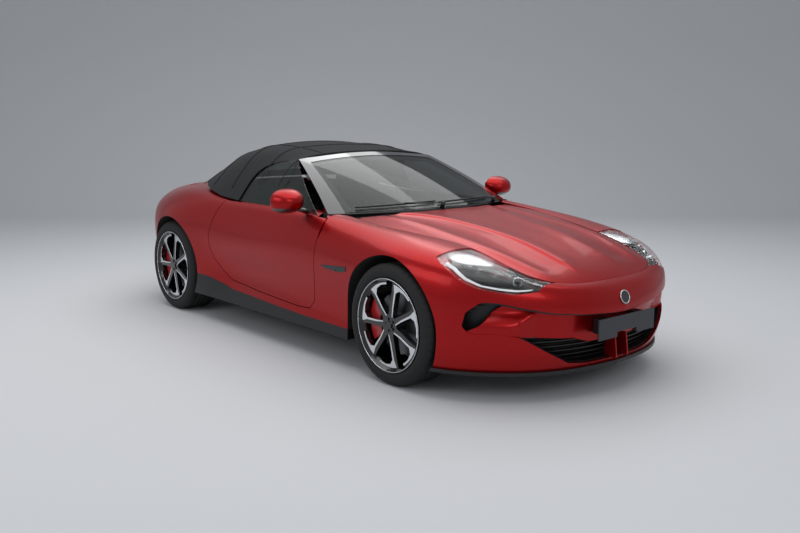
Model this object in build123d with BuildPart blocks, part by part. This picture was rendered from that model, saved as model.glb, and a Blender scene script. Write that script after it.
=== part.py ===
from build123d import *
import math
import os

# Two-seat electric roadster with a closed fabric roof, in millimetres.
# +Z up, the nose towards -Y, the driver's side (right-hand drive) towards -X.
# Origin on the ground, midway along the car's length and width.

# ---- driving dimensions -------------------------------------------------------------------------
WHEELBASE = 2690.0
FRONT_AXLE_Y = -WHEELBASE / 2
REAR_AXLE_Y = WHEELBASE / 2
TYRE_R = 351.0
RIM_R = 268.0
FRONT_TYRE_W = 245.0
REAR_TYRE_W = 275.0
WHEEL_FACE_X = 935.0
ARCH_R = 396.0
ARCH_SHIFT = 20.0
ARCH_DEPTH = 520.0
HEM_Z = 176.0
PANEL_GAP = 5.0
SEAM = 0.5
DOOR_GAP = 6.0
CLEARANCE = 0.3
DOOR_INNER_X = 775.0
TUB_SIDE_X = 765.0
SKIN = 28.0
BONNET_SKIN = 26.0
GLASS = 5.0
STEER_X = 775.0
WALL_X = 300.0
FAR = 1200.0

# Body skin: one row per upright section of one side, from the nose round to the tail.
# pole_y is the y of the upright line that the section's plane turns about, and turn its angle:
# 0 forward, 90 sideways, 180 rearward. Then (reach from the pole, height) of seven long lines:
# shut line, crest, shoulder, waist, flank, low, hem.
SKIN_ROWS = [
    (FRONT_AXLE_Y, 0, (825, 626), (862, 610), (898, 575), (922.5, 500), (915, 400), (900, 270), (872, 174)),
    (FRONT_AXLE_Y, 20, (866, 630), (899, 618), (930, 580), (945, 500), (938, 400), (925, 270), (892, 174)),
    (FRONT_AXLE_Y, 35, (870, 668), (918, 654), (964, 605), (980, 510), (972, 400), (955, 270), (922, 174)),
    (FRONT_AXLE_Y, 50, (722, 747), (862, 738), (962, 662), (990, 530), (985, 400), (970, 270), (940, 174)),
    (FRONT_AXLE_Y, 68, (612, 800), (806, 786), (930, 722), (972, 600), (975, 420), (970, 270), (950, 174)),
    (FRONT_AXLE_Y, 90, (616, 830), (770, 834), (905, 765), (945, 630), (930, 450), (925, 270), (930, 174)),
    (-1000, 90, (696, 866), (775, 872), (885, 795), (930, 650), (905, 450), (905, 270), (930, 174)),
    (-600, 90, (700, 905), (805, 902), (880, 820), (912, 660), (890, 450), (895, 280), (930, 174)),
    (0, 90, (780, 914), (830, 905), (880, 820), (900, 620), (870, 450), (890, 280), (935, 174)),
    (600, 90, (780, 925), (845, 910), (895, 820), (905, 580), (880, 450), (895, 280), (935, 174)),
    (1000, 90, (735, 960), (850, 925), (925, 820), (940, 620), (935, 450), (935, 300), (940, 174)),
    (REAR_AXLE_Y, 90, (660, 965), (820, 930), (935, 810), (956.5, 620), (945, 450), (940, 300), (935, 174)),
    (REAR_AXLE_Y, 115, (640, 950), (800, 908), (930, 800), (962, 640), (950, 450), (930, 320), (900, 200)),
    (REAR_AXLE_Y, 135, (700, 938), (848, 898), (948, 795), (962, 660), (950, 480), (930, 340), (890, 220)),
    (REAR_AXLE_Y, 155, (760, 938), (868, 905), (930, 810), (932, 680), (920, 500), (900, 350), (860, 230)),
    (REAR_AXLE_Y, 180, (800, 942), (880, 908), (915, 820), (922.5, 700), (905, 500), (880, 360), (840, 240)),
]
LINES = 7
WAIST = 3

# Centre-line heights of the bonnet and of the rear deck: (y, z). Both fall away sideways.
BONNET_LINE = [(-2300, 480), (-2170, 622), (-2000, 706), (-1700, 796), (-1345, 858), (-1000, 902), (-700, 925)]
BONNET_FALL = 28.0
# Two pairs of raised lines run down the bonnet: (y, distance from the middle), and their height.
INNER_CREASE = [(-2300, 182), (-2100, 190), (-1790, 203), (-1450, 222), (-1150, 262), (-950, 335), (-780, 430),
                (-640, 480)]
OUTER_CREASE = [(-2300, 380), (-2100, 415), (-1700, 482), (-1345, 492), (-1000, 500), (-780, 556),
                (-640, 600)]
CREASE_HIGH = 9.0
HOLLOW_DEEP = 6.0
CREASE_WIDE = 30.0
CREASE_ENDS = (-2110.0, -760.0)
CREASE_FADE = 130.0
DECK_LINE = [(900, 1012), (1150, 1012), (1345, 1004), (1600, 984), (1850, 960), (2000, 950), (2180, 944)]
DECK_FALL = 40.0
FALL_X = 600.0

# Windscreen: half width, and y and z on the centre line with what they change by at the side.
SCREEN_FOOT = {"half": 800.0, "y": -850.0, "dy": 245.0, "z": 925.0, "dz": -12.0}
SCREEN_HEAD = {"half": 606.0, "y": 3.0, "dy": -14.0, "z": 1262.0, "dz": -46.0}
SCREEN_BOW = 12.0
PILLAR_SHARE = 0.885
HEADER_SHARE = 0.925
FRAME_T = 38.0

# Side glass leans in over the belt: (z, half width), the same all along.
SIDE_LINE = [(880, 838), (1000, 765), (1100, 694), (1220, 602)]

# Fabric roof: y, then (half width, height) of ridge, mid, shoulder, rail, hem.
ROOF_ROWS = [
    (0, (0, 1264), (330, 1254), (500, 1236), (606, 1208), (818, 912)),
    (260, (0, 1302), (340, 1290), (520, 1258), (628, 1188), (828, 900)),
    (560, (0, 1326), (340, 1308), (535, 1262), (650, 1165), (842, 900)),
    (860, (0, 1296), (340, 1276), (530, 1222), (660, 1120), (836, 918)),
    (1100, (0, 1220), (335, 1200), (515, 1145), (640, 1062), (790, 945)),
    (1290, (0, 1112), (330, 1095), (490, 1055), (600, 1015), (700, 968)),
    (1420, (0, 1010), (320, 1002), (470, 990), (560, 978), (620, 962)),
]
ROOF_T = 22.0

# Door outline in side view, from the top front corner round to the top rear corner.
DOOR_HINGE = (-840.0, -597.0, 849.0)
DOOR_TILT = 60.0
# Distance along the hinge axis where the door's side ends and the bracket's begins.
DOOR_END, BRACKET_START = 28.0, 34.0
PIN_R = 9.0
HINGE_PLANE = Plane(origin=DOOR_HINGE,
                    z_dir=(math.sin(math.radians(DOOR_TILT)), 0, math.cos(math.radians(DOOR_TILT))))
HINGE_PLANE_LEFT = Plane(origin=(-DOOR_HINGE[0], DOOR_HINGE[1], DOOR_HINGE[2]),
                         z_dir=(-math.sin(math.radians(DOOR_TILT)), 0, math.cos(math.radians(DOOR_TILT))))

os.makedirs("parts", exist_ok=True)


# ---- curve and surface helpers ------------------------------------------------------------------
def smooth(stations, values):
    """Return a function through the values: a natural cubic curve over the stations."""
    last = len(stations) - 1
    lower, middle, right = [0.0] * (last + 1), [1.0] * (last + 1), [0.0] * (last + 1)
    bend = [0.0] * (last + 1)
    for i in range(1, last):
        before, after = stations[i] - stations[i - 1], stations[i + 1] - stations[i]
        lower[i], middle[i], right[i] = before, 2 * (before + after), after
        bend[i] = 6 * ((values[i + 1] - values[i]) / after - (values[i] - values[i - 1]) / before)
    for i in range(1, last + 1):
        share = lower[i] / middle[i - 1]
        middle[i] -= share * right[i - 1]
        bend[i] -= share * bend[i - 1]
    bend[last] /= middle[last]
    for i in range(last - 1, -1, -1):
        bend[i] = (bend[i] - right[i] * bend[i + 1]) / middle[i]

    def curve(t):
        i = 0
        while i < last - 1 and t > stations[i + 1]:
            i += 1
        span = stations[i + 1] - stations[i]
        a, b = (stations[i + 1] - t) / span, (t - stations[i]) / span
        sag = ((a**3 - a) * bend[i] + (b**3 - b) * bend[i + 1]) * span * span / 6
        return a * values[i] + b * values[i + 1] + sag

    return curve


def skin_place(row, line):
    """Return x, y, z of one line's point on one row of the body skin, on the right-hand side."""
    pole_y, turn = row[0], math.radians(row[1])
    reach, height = row[2 + line]
    return (-reach * math.sin(turn), pole_y - reach * math.cos(turn), height)


STATION = [0.0]
for ahead, behind in zip(SKIN_ROWS, SKIN_ROWS[1:]):
    STATION.append(STATION[-1] + math.dist(skin_place(ahead, WAIST)[:2], skin_place(behind, WAIST)[:2]))
LONG_LINES = [
    [smooth(STATION, [skin_place(row, line)[axis] for row in SKIN_ROWS]) for axis in range(3)]
    for line in range(LINES)
]


def skin_section(station, count, side=-1):
    """Points down the body skin from the shut line to the hem, at one station."""
    knots = [Vector(*[curve(station) for curve in line]) for line in LONG_LINES]
    run = [0.0]
    for upper, lower in zip(knots, knots[1:]):
        run.append(run[-1] + (lower - upper).length)
    across = [smooth(run, [getattr(knot, axis) for knot in knots]) for axis in ("X", "Y", "Z")]
    points = [Vector(*[f(run[-1] * i / (count - 1)) for f in across]) for i in range(count)]
    return points if side < 0 else [Vector(-p.X, p.Y, p.Z) for p in points]


def skin_grid(first, last, columns, count=12):
    """Grid of skin points between two stations; a negative station lies on the left-hand side."""
    steps = [first + (last - first) * i / (columns - 1) for i in range(columns)]
    return [skin_section(abs(s), count, 1 if s < 0 else -1) for s in steps]


def tail_grid(first, last, columns, count=12):
    """The same round the tail, where stations past the last one are on the left-hand side."""
    end = STATION[-1]
    steps = [first + (last - first) * i / (columns - 1) for i in range(columns)]
    return [skin_section(s if s <= end else 2 * end - s, count, -1 if s <= end else 1) for s in steps]


def sink(grid, depth):
    """Move a grid of points inwards by depth, along the normal of the surface through it."""
    rows, columns = len(grid), len(grid[0])
    moved = []
    for i in range(rows):
        line = []
        for j in range(columns):
            along = grid[min(i + 1, rows - 1)][j] - grid[max(i - 1, 0)][j]
            down = grid[i][min(j + 1, columns - 1)] - grid[i][max(j - 1, 0)]
            normal = along.cross(down).normalized()
            line.append(grid[i][j] - normal * depth)
        moved.append(line)
    return moved


def surface(grid):
    return Face.make_surface_from_array_of_points(grid, tol=0.1)


def slab(outer, inner):
    """Closed solid between two grids of points of the same layout."""
    top, bottom = surface(outer), surface(inner)
    walls = []
    for edge in top.edges():
        partner = min(bottom.edges(), key=lambda other: ((other @ 0.5) - (edge @ 0.5)).length)
        walls.append(Face.make_surface_from_curves(edge, partner))
    solid = Solid(Shell([top, bottom] + walls))
    return solid if solid.volume > 0 else -solid


def to_wall(grid, wall_x):
    """Grid pressed flat onto the upright plane at wall_x: the inner face of a thick side panel."""
    return [[Vector(wall_x, p.Y, p.Z) for p in line] for line in grid]


def side_outline(points, inner_x, outer_x):
    """Prism along X of a side-view outline, given as (y, z), between two distances from the middle."""
    with BuildPart() as prism:
        with BuildSketch(Plane.YZ.offset(-outer_x)):
            with BuildLine():
                Polyline(*points, close=True)
            make_face()
        extrude(amount=outer_x - inner_x)
    return prism.part


def both_sides(half_plan):
    """Whole outline from its right-hand half, given from the nose backwards."""
    return half_plan + [(-x, y) for x, y in reversed(half_plan)]


def mirrored(piece, label):
    twin = piece.mirror(Plane.YZ)
    twin.label = label
    return twin


def save(piece, label):
    piece.label = label
    export_step(piece, f"parts/{label}.step")


shut_x = smooth(STATION, [skin_place(row, 0)[0] for row in SKIN_ROWS])
shut_y = smooth(STATION, [skin_place(row, 0)[1] for row in SKIN_ROWS])


SHUT_POINTS = 40


def shut_line(first, last, count, gap):
    """Plan of the shut line between bonnet or deck and the sides, moved inwards by gap."""
    plan = []
    for i in range(count):
        s = first + (last - first) * i / (count - 1)
        step = 1.0
        dx, dy = shut_x(s + step) - shut_x(s - step), shut_y(s + step) - shut_y(s - step)
        long = math.hypot(dx, dy)
        plan.append((shut_x(s) + gap * dy / long, shut_y(s) - gap * dx / long))
    return plan


bonnet_z = smooth([y for y, z in BONNET_LINE], [z for y, z in BONNET_LINE])
deck_z = smooth([y for y, z in DECK_LINE], [z for y, z in DECK_LINE])


inner_crease = smooth([y for y, x in INNER_CREASE], [x for y, x in INNER_CREASE])
outer_crease = smooth([y for y, x in OUTER_CREASE], [x for y, x in OUTER_CREASE])


def bonnet_rise(x, y):
    """Height that the bonnet's raised lines and the hollows between them add at a place."""
    across, inner, outer = abs(x), inner_crease(y), outer_crease(y)
    ends = min(1.0, max(0.0, (y - CREASE_ENDS[0]) / CREASE_FADE), max(0.0, (CREASE_ENDS[1] - y) / CREASE_FADE))
    lee = 3 * CREASE_WIDE if across < inner else CREASE_WIDE
    ridge = CREASE_HIGH * math.exp(-((across - inner) / lee) ** 2)
    hollow = HOLLOW_DEEP * math.exp(-((across - (inner + outer) / 2) / (0.3 * (outer - inner))) ** 2)
    shoulder = 0.7 * CREASE_HIGH * math.exp(-((across - outer) / (1.4 * CREASE_WIDE)) ** 2)
    return ends * (ridge - hollow + shoulder)


def flat_rise(x, y):
    return 0.0


def cap_grid(centre_z, fall, half, first_y, last_y, drop=0.0, across=9, along=12, rise=flat_rise):
    """Grid of a bonnet or deck: its centre line, less its sideways fall and a drop, plus its raised lines."""
    grid = []
    for i in range(along):
        y = first_y + (last_y - first_y) * i / (along - 1)
        row = [-half + 2 * half * j / (across - 1) for j in range(across)]
        grid.append([Vector(x, y, centre_z(y) - fall * (x / FALL_X) ** 2 + rise(x, y) - drop) for x in row])
    return grid


# stations of the joints between panels
S_WING = STATION[3] * 0.55 + STATION[2] * 0.45
S_DOOR_FRONT = STATION[6]
S_DOOR_REAR = STATION[10]

DOOR_OUTLINE = [
    (-636, 868), (-628, 780), (-606, 660), (-584, 500), (-564, 362), (-520, 312), (-395, 303),
    (-170, 311), (172, 325), (494, 349), (600, 400), (700, 480), (742, 560), (746, 620),
    (721, 696), (668, 798), (606, 897), (600, 960), (-578, 960), (-585, 908), (-622, 890),
]
DOOR_BACK = DOOR_OUTLINE[10:18]
BACK_SLOPE = 150.0
BACK_OUT, BACK_IN = 945.0, 765.0



def grown(points, gap):
    """Side-view outline moved outwards by gap, corner by corner."""
    with BuildSketch(Plane.XY) as flat:
        with BuildLine():
            Polyline(*points, close=True)
        make_face()
        offset(amount=gap, kind=Kind.INTERSECTION)
    return flat.sketch


# ---- wheels -------------------------------------------------------------------------------------
SPOKES = 7
BARREL_R = 244.0
HUB_R = 62.0
# one spoke, (radius, angle in degrees), hooked along the rim at its outer end
SPOKE = [(48, -24), (110, -11), (190, -6.5), (BARREL_R + 8, -6), (BARREL_R + 8, 14), (BARREL_R + 8, 33),
         (BARREL_R - 9, 33), (BARREL_R - 12, 20), (BARREL_R - 20, 10), (BARREL_R - 46, 4), (110, 7), (48, 22)]
STUB_R = 24.0
STUB_X = 748.0


def wheel_plane(side, width):
    return side * (WHEEL_FACE_X - width / 2)


def build_wheel(side, axle_y, width):
    """Rim with twisted spokes, tyre and brake disc of one wheel; side is -1 on the right."""
    middle = wheel_plane(side, width)
    half = width / 2
    axle = Plane(origin=(middle, axle_y, TYRE_R), x_dir=(0, 1, 0), z_dir=(side, 0, 0))
    # in this plane local z points outwards from the car
    profile = Plane(origin=(middle, axle_y, TYRE_R), x_dir=(side, 0, 0), z_dir=(0, -side, 0))
    with BuildPart() as tyre:
        with BuildSketch(profile):
            with BuildLine():
                Polyline(
                    (-half + 12, RIM_R + 4), (-half + 2, RIM_R + 26), (-half, RIM_R + 48),
                    (-half + 14, TYRE_R - 12), (-half + 34, TYRE_R), (half - 34, TYRE_R),
                    (half - 14, TYRE_R - 12), (half, RIM_R + 48), (half - 2, RIM_R + 26),
                    (half - 12, RIM_R + 4), (half - 30, RIM_R - 6), (-half + 30, RIM_R - 6),
                    close=True,
                )
            make_face()
        revolve(axis=Axis((middle, axle_y, TYRE_R), (1, 0, 0)))
    with BuildPart() as rim:
        with BuildSketch(profile):
            with BuildLine():
                Polyline(
                    (-half + 6, RIM_R + 4), (-half + 6, RIM_R - 8), (-half + 30, BARREL_R - 6),
                    (half - 34, BARREL_R - 6), (half - 14, RIM_R - 14), (half - 3, RIM_R - 6),
                    (half - 3, RIM_R + 4), (half - 11, RIM_R + 4), (half - 29, RIM_R - 7),
                    (-half + 29, RIM_R - 7), (-half + 11, RIM_R + 4),
                    close=True,
                )
            make_face()
        revolve(axis=Axis((middle, axle_y, TYRE_R), (1, 0, 0)))
        face_depth = half - 30
        with BuildSketch(axle.offset(face_depth - 24)):
            Circle(HUB_R)
            for k in range(SPOKES):
                turned = [(r, math.radians(a + 360 * k / SPOKES)) for r, a in SPOKE]
                with BuildLine():
                    Polyline(*[(r * math.cos(a), side * r * math.sin(a)) for r, a in turned], close=True)
                make_face()
        extrude(amount=34)
        with BuildSketch(axle.offset(face_depth - 60)):
            Circle(HUB_R)
        extrude(amount=40)
    with BuildPart() as disc:
        with BuildSketch(axle.offset(face_depth - 92)):
            Circle(178)
        extrude(amount=30)
        with BuildSketch(axle.offset(face_depth - 62)):
            Circle(75)
        extrude(amount=2 - CLEARANCE)
        with BuildSketch(Plane(origin=(side * STUB_X, axle_y, TYRE_R), z_dir=(side, 0, 0))):
            Circle(STUB_R)
        extrude(amount=middle * side + face_depth - 80 - STUB_X)
    return rim.part, tyre.part, disc.part


for name, side, axle_y, width in (
    ("front_right", -1, FRONT_AXLE_Y, FRONT_TYRE_W),
    ("front_left", 1, FRONT_AXLE_Y, FRONT_TYRE_W),
    ("rear_right", -1, REAR_AXLE_Y, REAR_TYRE_W),
    ("rear_left", 1, REAR_AXLE_Y, REAR_TYRE_W),
):
    rim, tyre, disc = build_wheel(side, axle_y, width)
    save(rim, f"rim_{name}")
    save(tyre, f"tyre_{name}")
    save(disc, f"disc_{name}")


# ---- body sides: wing, door, quarter, sill, skirt -----------------------------------------------
def arch_cut(axle_y, shift):
    """Round wheel-arch space of the right-hand side."""
    with BuildPart() as space:
        with BuildSketch(Plane.YZ.offset(-FAR)):
            with Locations((axle_y + shift, TYRE_R)):
                Circle(ARCH_R)
        extrude(amount=FAR - ARCH_DEPTH)
    return space.part


FRONT_ARCH = arch_cut(FRONT_AXLE_Y, ARCH_SHIFT)
REAR_ARCH = arch_cut(REAR_AXLE_Y, -ARCH_SHIFT)

# Side-view lines, (y, z), that the panels share.
SKIRT_LINE = [(-960, 252), (-500, 254), (-90, 265), (470, 284), (780, 338), (960, 348)]
NOSE_LINE = [(-1900, 1000), (-1900, 660), (-1750, 692), (-1450, 700)]
TAIL_LINE = [(1640, 350), (1640, 560), (1900, 640), (1980, 700), (1980, 1100)]
LAMP_OUTLINE = [
    (-1637, 764), (-1650, 830), (-2000, 800), (-2115, 700), (-2126, 616), (-2105, 609), (-2056, 603),
    (-1995, 612), (-1911, 629), (-1833, 660), (-1746, 712),
]


def outline_prism(flat, inner_x, outer_x):
    """Prism along X of a side-view sketch."""
    with BuildPart() as prism:
        with BuildSketch(Plane.YZ.offset(-outer_x)):
            add(flat)
        extrude(amount=outer_x - inner_x)
    return prism.part


door_space = outline_prism(grown(DOOR_OUTLINE, DOOR_GAP), WALL_X, FAR)
FRONT_SHUT = shut_line(0, STATION[7], SHUT_POINTS, 0)[1:]
POST_TOP = 911.5
BRACKET_X = 800.0
BRACKET_Z = 800.0
PIN_REACH = 92.0


def hinge_drum(plane, radius, low, high):
    """Round block about a door hinge's axis, for the room that the parts near it need."""
    with BuildPart() as drum:
        with BuildSketch(plane.offset(low)):
            Circle(radius)
        extrude(amount=high - low)
    return drum.part


def front_prism(half_outline, inset, near_y, far_y):
    """Prism along Y of an outline given for its right-hand half, shrunk by inset."""
    left = [(-x, z) for x, z in reversed(half_outline) if x < 0]
    with BuildPart() as prism:
        with BuildSketch(Plane.XZ.offset(-far_y)):
            with BuildLine():
                Polyline(*half_outline, *left, close=True)
            make_face()
            if inset:
                offset(amount=-inset, kind=Kind.INTERSECTION, mode=Mode.REPLACE)
        extrude(amount=far_y - near_y)
    return prism.part


HEM_CLEAR = [(-836, 970), (-836, 924), (-770, 808)]


def bonnet_field(outwards):
    """Prism over the bonnet's field, its edge moved outwards."""
    with BuildPart() as prism:
        with BuildSketch(Plane.XY.offset(560)):
            with BuildLine():
                Polyline(*both_sides(shut_line(0, STATION[7], SHUT_POINTS, -outwards)[1:]), close=True)
            make_face()
        extrude(amount=400)
    return prism.part


LAMP_FIELD_GAP = 8.0
lamp_skin = skin_grid(STATION[1], STATION[5], 20, 14)
with BuildPart() as lamp_space:
    add(slab(sink(lamp_skin, -12), sink(lamp_skin, 48)))
    add(outline_prism(grown(LAMP_OUTLINE, 0.01), 0, FAR), mode=Mode.INTERSECT)
with BuildPart() as lamp_right:
    add(slab(sink(lamp_skin, 2), sink(lamp_skin, 45)))
    add(outline_prism(grown(LAMP_OUTLINE, -1), 0, FAR), mode=Mode.INTERSECT)
    add(bonnet_field(LAMP_FIELD_GAP), mode=Mode.SUBTRACT)
    mirror(about=Plane.YZ)
save(lamp_right.part, "headlamps")

wing_skin = skin_grid(S_WING * 0.75, STATION[8], 26, 14)
WING_SIDE = NOSE_LINE + [(-1450, 400), (-1000, 400), (-1000, 252), (-500, 254), (-500, 1000)]
with BuildPart() as wing_right:
    add(slab(wing_skin, to_wall(wing_skin, -WALL_X)))
    add(side_outline(WING_SIDE, WALL_X, FAR), mode=Mode.INTERSECT)
    with BuildSketch(Plane.XY):
        with BuildLine():
            plan = [p for p in FRONT_SHUT if -1960 < p[1] < -690]
            Polyline((-FAR, plan[0][1]), *plan, (-TUB_SIDE_X - 2, -640), (-TUB_SIDE_X - 2, -500),
                     (-FAR, -500), close=True)
        make_face()
    extrude(amount=FAR, mode=Mode.INTERSECT)
    with BuildSketch(Plane.XY.offset(100)):
        Rectangle(2 * TUB_SIDE_X + 4, 2 * 960)
    extrude(amount=750, mode=Mode.SUBTRACT)
    with BuildSketch(Plane.XY.offset(100)):
        with Locations((0, -570)):
            Rectangle(2 * BRACKET_X + 4, 144)
    extrude(amount=830, mode=Mode.SUBTRACT)
    add(door_space, mode=Mode.SUBTRACT)
    add(FRONT_ARCH, mode=Mode.SUBTRACT)
    add(lamp_space.part, mode=Mode.SUBTRACT)
    add(hinge_drum(HINGE_PLANE, 53, -100, BRACKET_START), mode=Mode.SUBTRACT)
    # behind the wheel the wing ends at the door's gap
    add(side_outline([(-560, 300), (-440, 300), (-440, 900), (-560, 900)], 0, FAR), mode=Mode.SUBTRACT)
save(wing_right.part, "wing_right")
save(mirrored(wing_right.part, "wing_left"), "wing_left")

door_skin = skin_grid(S_DOOR_FRONT, S_DOOR_REAR, 16, 14)
# the back shut face leans forwards towards the cabin, so the door swings out past the quarter
with BuildPart() as door_back:
    for x, shift in ((BACK_OUT, 0), (BACK_IN, BACK_SLOPE)):
        with BuildSketch(Plane.YZ.offset(-x)):
            with BuildLine():
                Polyline(*[(y - shift, z) for y, z in DOOR_BACK], (1000, 960), (1000, 400), close=True)
            make_face()
    loft(ruled=True)
with BuildPart() as door_right:
    add(slab(door_skin, to_wall(door_skin, -WALL_X)))
    add(side_outline(DOOR_OUTLINE, DOOR_INNER_X, FAR), mode=Mode.INTERSECT)
    # the corner round the hinge bracket is cut away on the inside
    with BuildSketch(Plane.XY.offset(BRACKET_Z - 30)):
        with Locations((0, -570)):
            Rectangle(2 * (BRACKET_X + 12), 260)
    extrude(amount=230, mode=Mode.SUBTRACT)
    add(door_back.part, mode=Mode.SUBTRACT)
    add(hinge_drum(HINGE_PLANE, 64, DOOR_END, 200), mode=Mode.SUBTRACT)
    # the top inner edge rises past the roof's hem
    add(front_prism(HEM_CLEAR, 0, 405, 640), mode=Mode.SUBTRACT)
    with BuildSketch(HINGE_PLANE.offset(-30)):
        Circle(PIN_R)
    extrude(amount=30 + PIN_REACH)
save(door_right.part, "door_right")
save(mirrored(door_right.part, "door_left"), "door_left")

door_top = slab(sink(door_skin, -CLEARANCE), to_wall(sink(door_skin, -CLEARANCE), -WALL_X))

quarter_skin = skin_grid(STATION[8], STATION[14], 30, 14)


def deck_line(inwards):
    """Shut line from behind the doors to the middle of the tail, moved inwards."""
    plan = shut_line(STATION[9] - 100, STATION[15], SHUT_POINTS, inwards)
    return [p for p in plan if p[0] < -5]


QUARTER_SIDE = [(560, 302), (780, 338), (960, 348), (1640, 348)] + TAIL_LINE + [(560, 1100)]
with BuildPart() as quarter_right:
    add(slab(quarter_skin, to_wall(quarter_skin, -WALL_X + 100)))
    add(side_outline(QUARTER_SIDE, WALL_X - 100, FAR), mode=Mode.INTERSECT)
    with BuildSketch(Plane.XY):
        with BuildLine():
            plan = [p for p in deck_line(0) if p[0] < -300]
            Polyline((-FAR, plan[0][1]), *plan, (plan[-1][0], 2300), (-FAR, 2300), close=True)
        make_face()
    extrude(amount=FAR, mode=Mode.INTERSECT)
    with BuildSketch(Plane.XY.offset(100)):
        Rectangle(2 * (TUB_SIDE_X + SEAM), 2 * 905)
    extrude(amount=POST_TOP - 99.5, mode=Mode.SUBTRACT)
    add(door_space, mode=Mode.SUBTRACT)
    add(REAR_ARCH, mode=Mode.SUBTRACT)
save(quarter_right.part, "quarter_right")
save(mirrored(quarter_right.part, "quarter_left"), "quarter_left")

side_skin = skin_grid(STATION[6] - 60, STATION[10], 22, 14)
with BuildPart() as sills:
    add(slab(side_skin, to_wall(side_skin, -WALL_X)))
    add(side_outline([(-500 + SEAM, 254), (-90, 265), (470, 284), (560 - SEAM, 302), (560 - SEAM, 500),
                      (-500 + SEAM, 500)], TUB_SIDE_X + SEAM, FAR), mode=Mode.INTERSECT)
    add(door_space, mode=Mode.SUBTRACT)
    mirror(about=Plane.YZ)
save(sills.part, "sills")
with BuildPart() as side_skirts:
    add(slab(side_skin, to_wall(side_skin, -WALL_X)))
    add(side_outline([(y, z - SEAM) for y, z in SKIRT_LINE] + [(960, 192), (-960, 192)],
                     TUB_SIDE_X + SEAM, FAR),
        mode=Mode.INTERSECT)
    add(FRONT_ARCH, mode=Mode.SUBTRACT)
    add(REAR_ARCH, mode=Mode.SUBTRACT)
    mirror(about=Plane.YZ)
save(side_skirts.part, "side_skirts")

# ---- nose ---------------------------------------------------------------------------------------
# Front view of the mouth's right-hand half, (x, z), from the top middle to the bottom middle.
MOUTH = [(0, 460), (-94, 462), (-321, 480), (-502, 502), (-633, 532), (-732, 559), (-791, 561), (-836, 505),
         (-846, 425), (-822, 388), (-727, 392), (-640, 372), (-513, 290), (-372, 212), (-250, 196), (0, 196)]


nose_skin = skin_grid(-STATION[5], STATION[5], 41, 14)
with BuildPart() as front_bumper:
    add(slab(nose_skin, sink(nose_skin, SKIN)))
    add(side_outline([(y, z - SEAM) for y, z in NOSE_LINE] + [(-1450, HEM_Z), (-2400, HEM_Z), (-2400, 999)],
                     -FAR, FAR), mode=Mode.INTERSECT)
    add(front_prism(MOUTH, 0, -2400, -1790), mode=Mode.SUBTRACT)
    add(bonnet_field(0), mode=Mode.SUBTRACT)
    for arch in (FRONT_ARCH, FRONT_ARCH.mirror(Plane.YZ)):
        add(arch, mode=Mode.SUBTRACT)
    for lamp in (lamp_space.part, lamp_space.part.mirror(Plane.YZ)):
        add(lamp, mode=Mode.SUBTRACT)
# only the cover itself is kept, without the slivers left between the cuts
with BuildPart() as bumper_cover:
    add(front_bumper.part.solids().sort_by(SortBy.VOLUME)[-1])
save(bumper_cover.part, "front_bumper")

# Body-coloured panel set back across the mouth, over the lower grille and beside the corner intakes.
PANEL_DEPTH, PANEL_T = 46.0, 14.0
RING = 9.0
MOUTH_PANEL = [(0, 700), (-690, 700), (-712, 560), (-836, 440), (-836, 380), (-646, 380), (-521, 359),
               (-307, 336), (-202, 304), (0, 304)]
GRILLE_BARS, BAR_PITCH, BAR_T, LOWEST_BAR = 12, 28.0, 6.0, 222.0
FIN_X, FIN_T = 50.0, 8.0
MOUTH_BACK_Y = -1800
mouth_panel_space = front_prism(MOUTH_PANEL, 0, -2400, MOUTH_BACK_Y)
with BuildPart() as mouth_panel:
    add(slab(sink(nose_skin, PANEL_DEPTH), sink(nose_skin, PANEL_DEPTH + PANEL_T)))
    add(front_prism(MOUTH, RING, -2400, MOUTH_BACK_Y), mode=Mode.INTERSECT)
    add(mouth_panel_space, mode=Mode.INTERSECT)
save(mouth_panel.part, "mouth_panel")

with BuildPart() as grille_bars:
    add(slab(sink(nose_skin, PANEL_DEPTH), sink(nose_skin, PANEL_DEPTH + 30)))
    with BuildSketch(Plane.XZ.offset(-MOUTH_BACK_Y)):
        for k in range(GRILLE_BARS):
            with Locations((0, LOWEST_BAR + BAR_PITCH * k)):
                Rectangle(1700, BAR_T)
        for side in (-1, 1):
            with Locations((side * FIN_X, 250)):
                Rectangle(FIN_T, 120)
    extrude(amount=800, mode=Mode.INTERSECT)
    add(front_prism(MOUTH, RING - 3, -2400, MOUTH_BACK_Y), mode=Mode.INTERSECT)
    add(front_prism(MOUTH_PANEL, -1, -2400, MOUTH_BACK_Y), mode=Mode.SUBTRACT)
with BuildPart() as mouth_hollow:
    add(slab(sink(nose_skin, 8), sink(nose_skin, 88)))
    add(front_prism(MOUTH, RING, -2400, MOUTH_BACK_Y), mode=Mode.INTERSECT)
with BuildPart() as intake_grille:
    add(slab(sink(nose_skin, 16), sink(nose_skin, 98)))
    add(front_prism(MOUTH, SEAM, -2400, -1790), mode=Mode.INTERSECT)
    add(mouth_hollow.part, mode=Mode.SUBTRACT)
    add(grille_bars.part)
save(intake_grille.part, "intake_grille")

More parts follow.
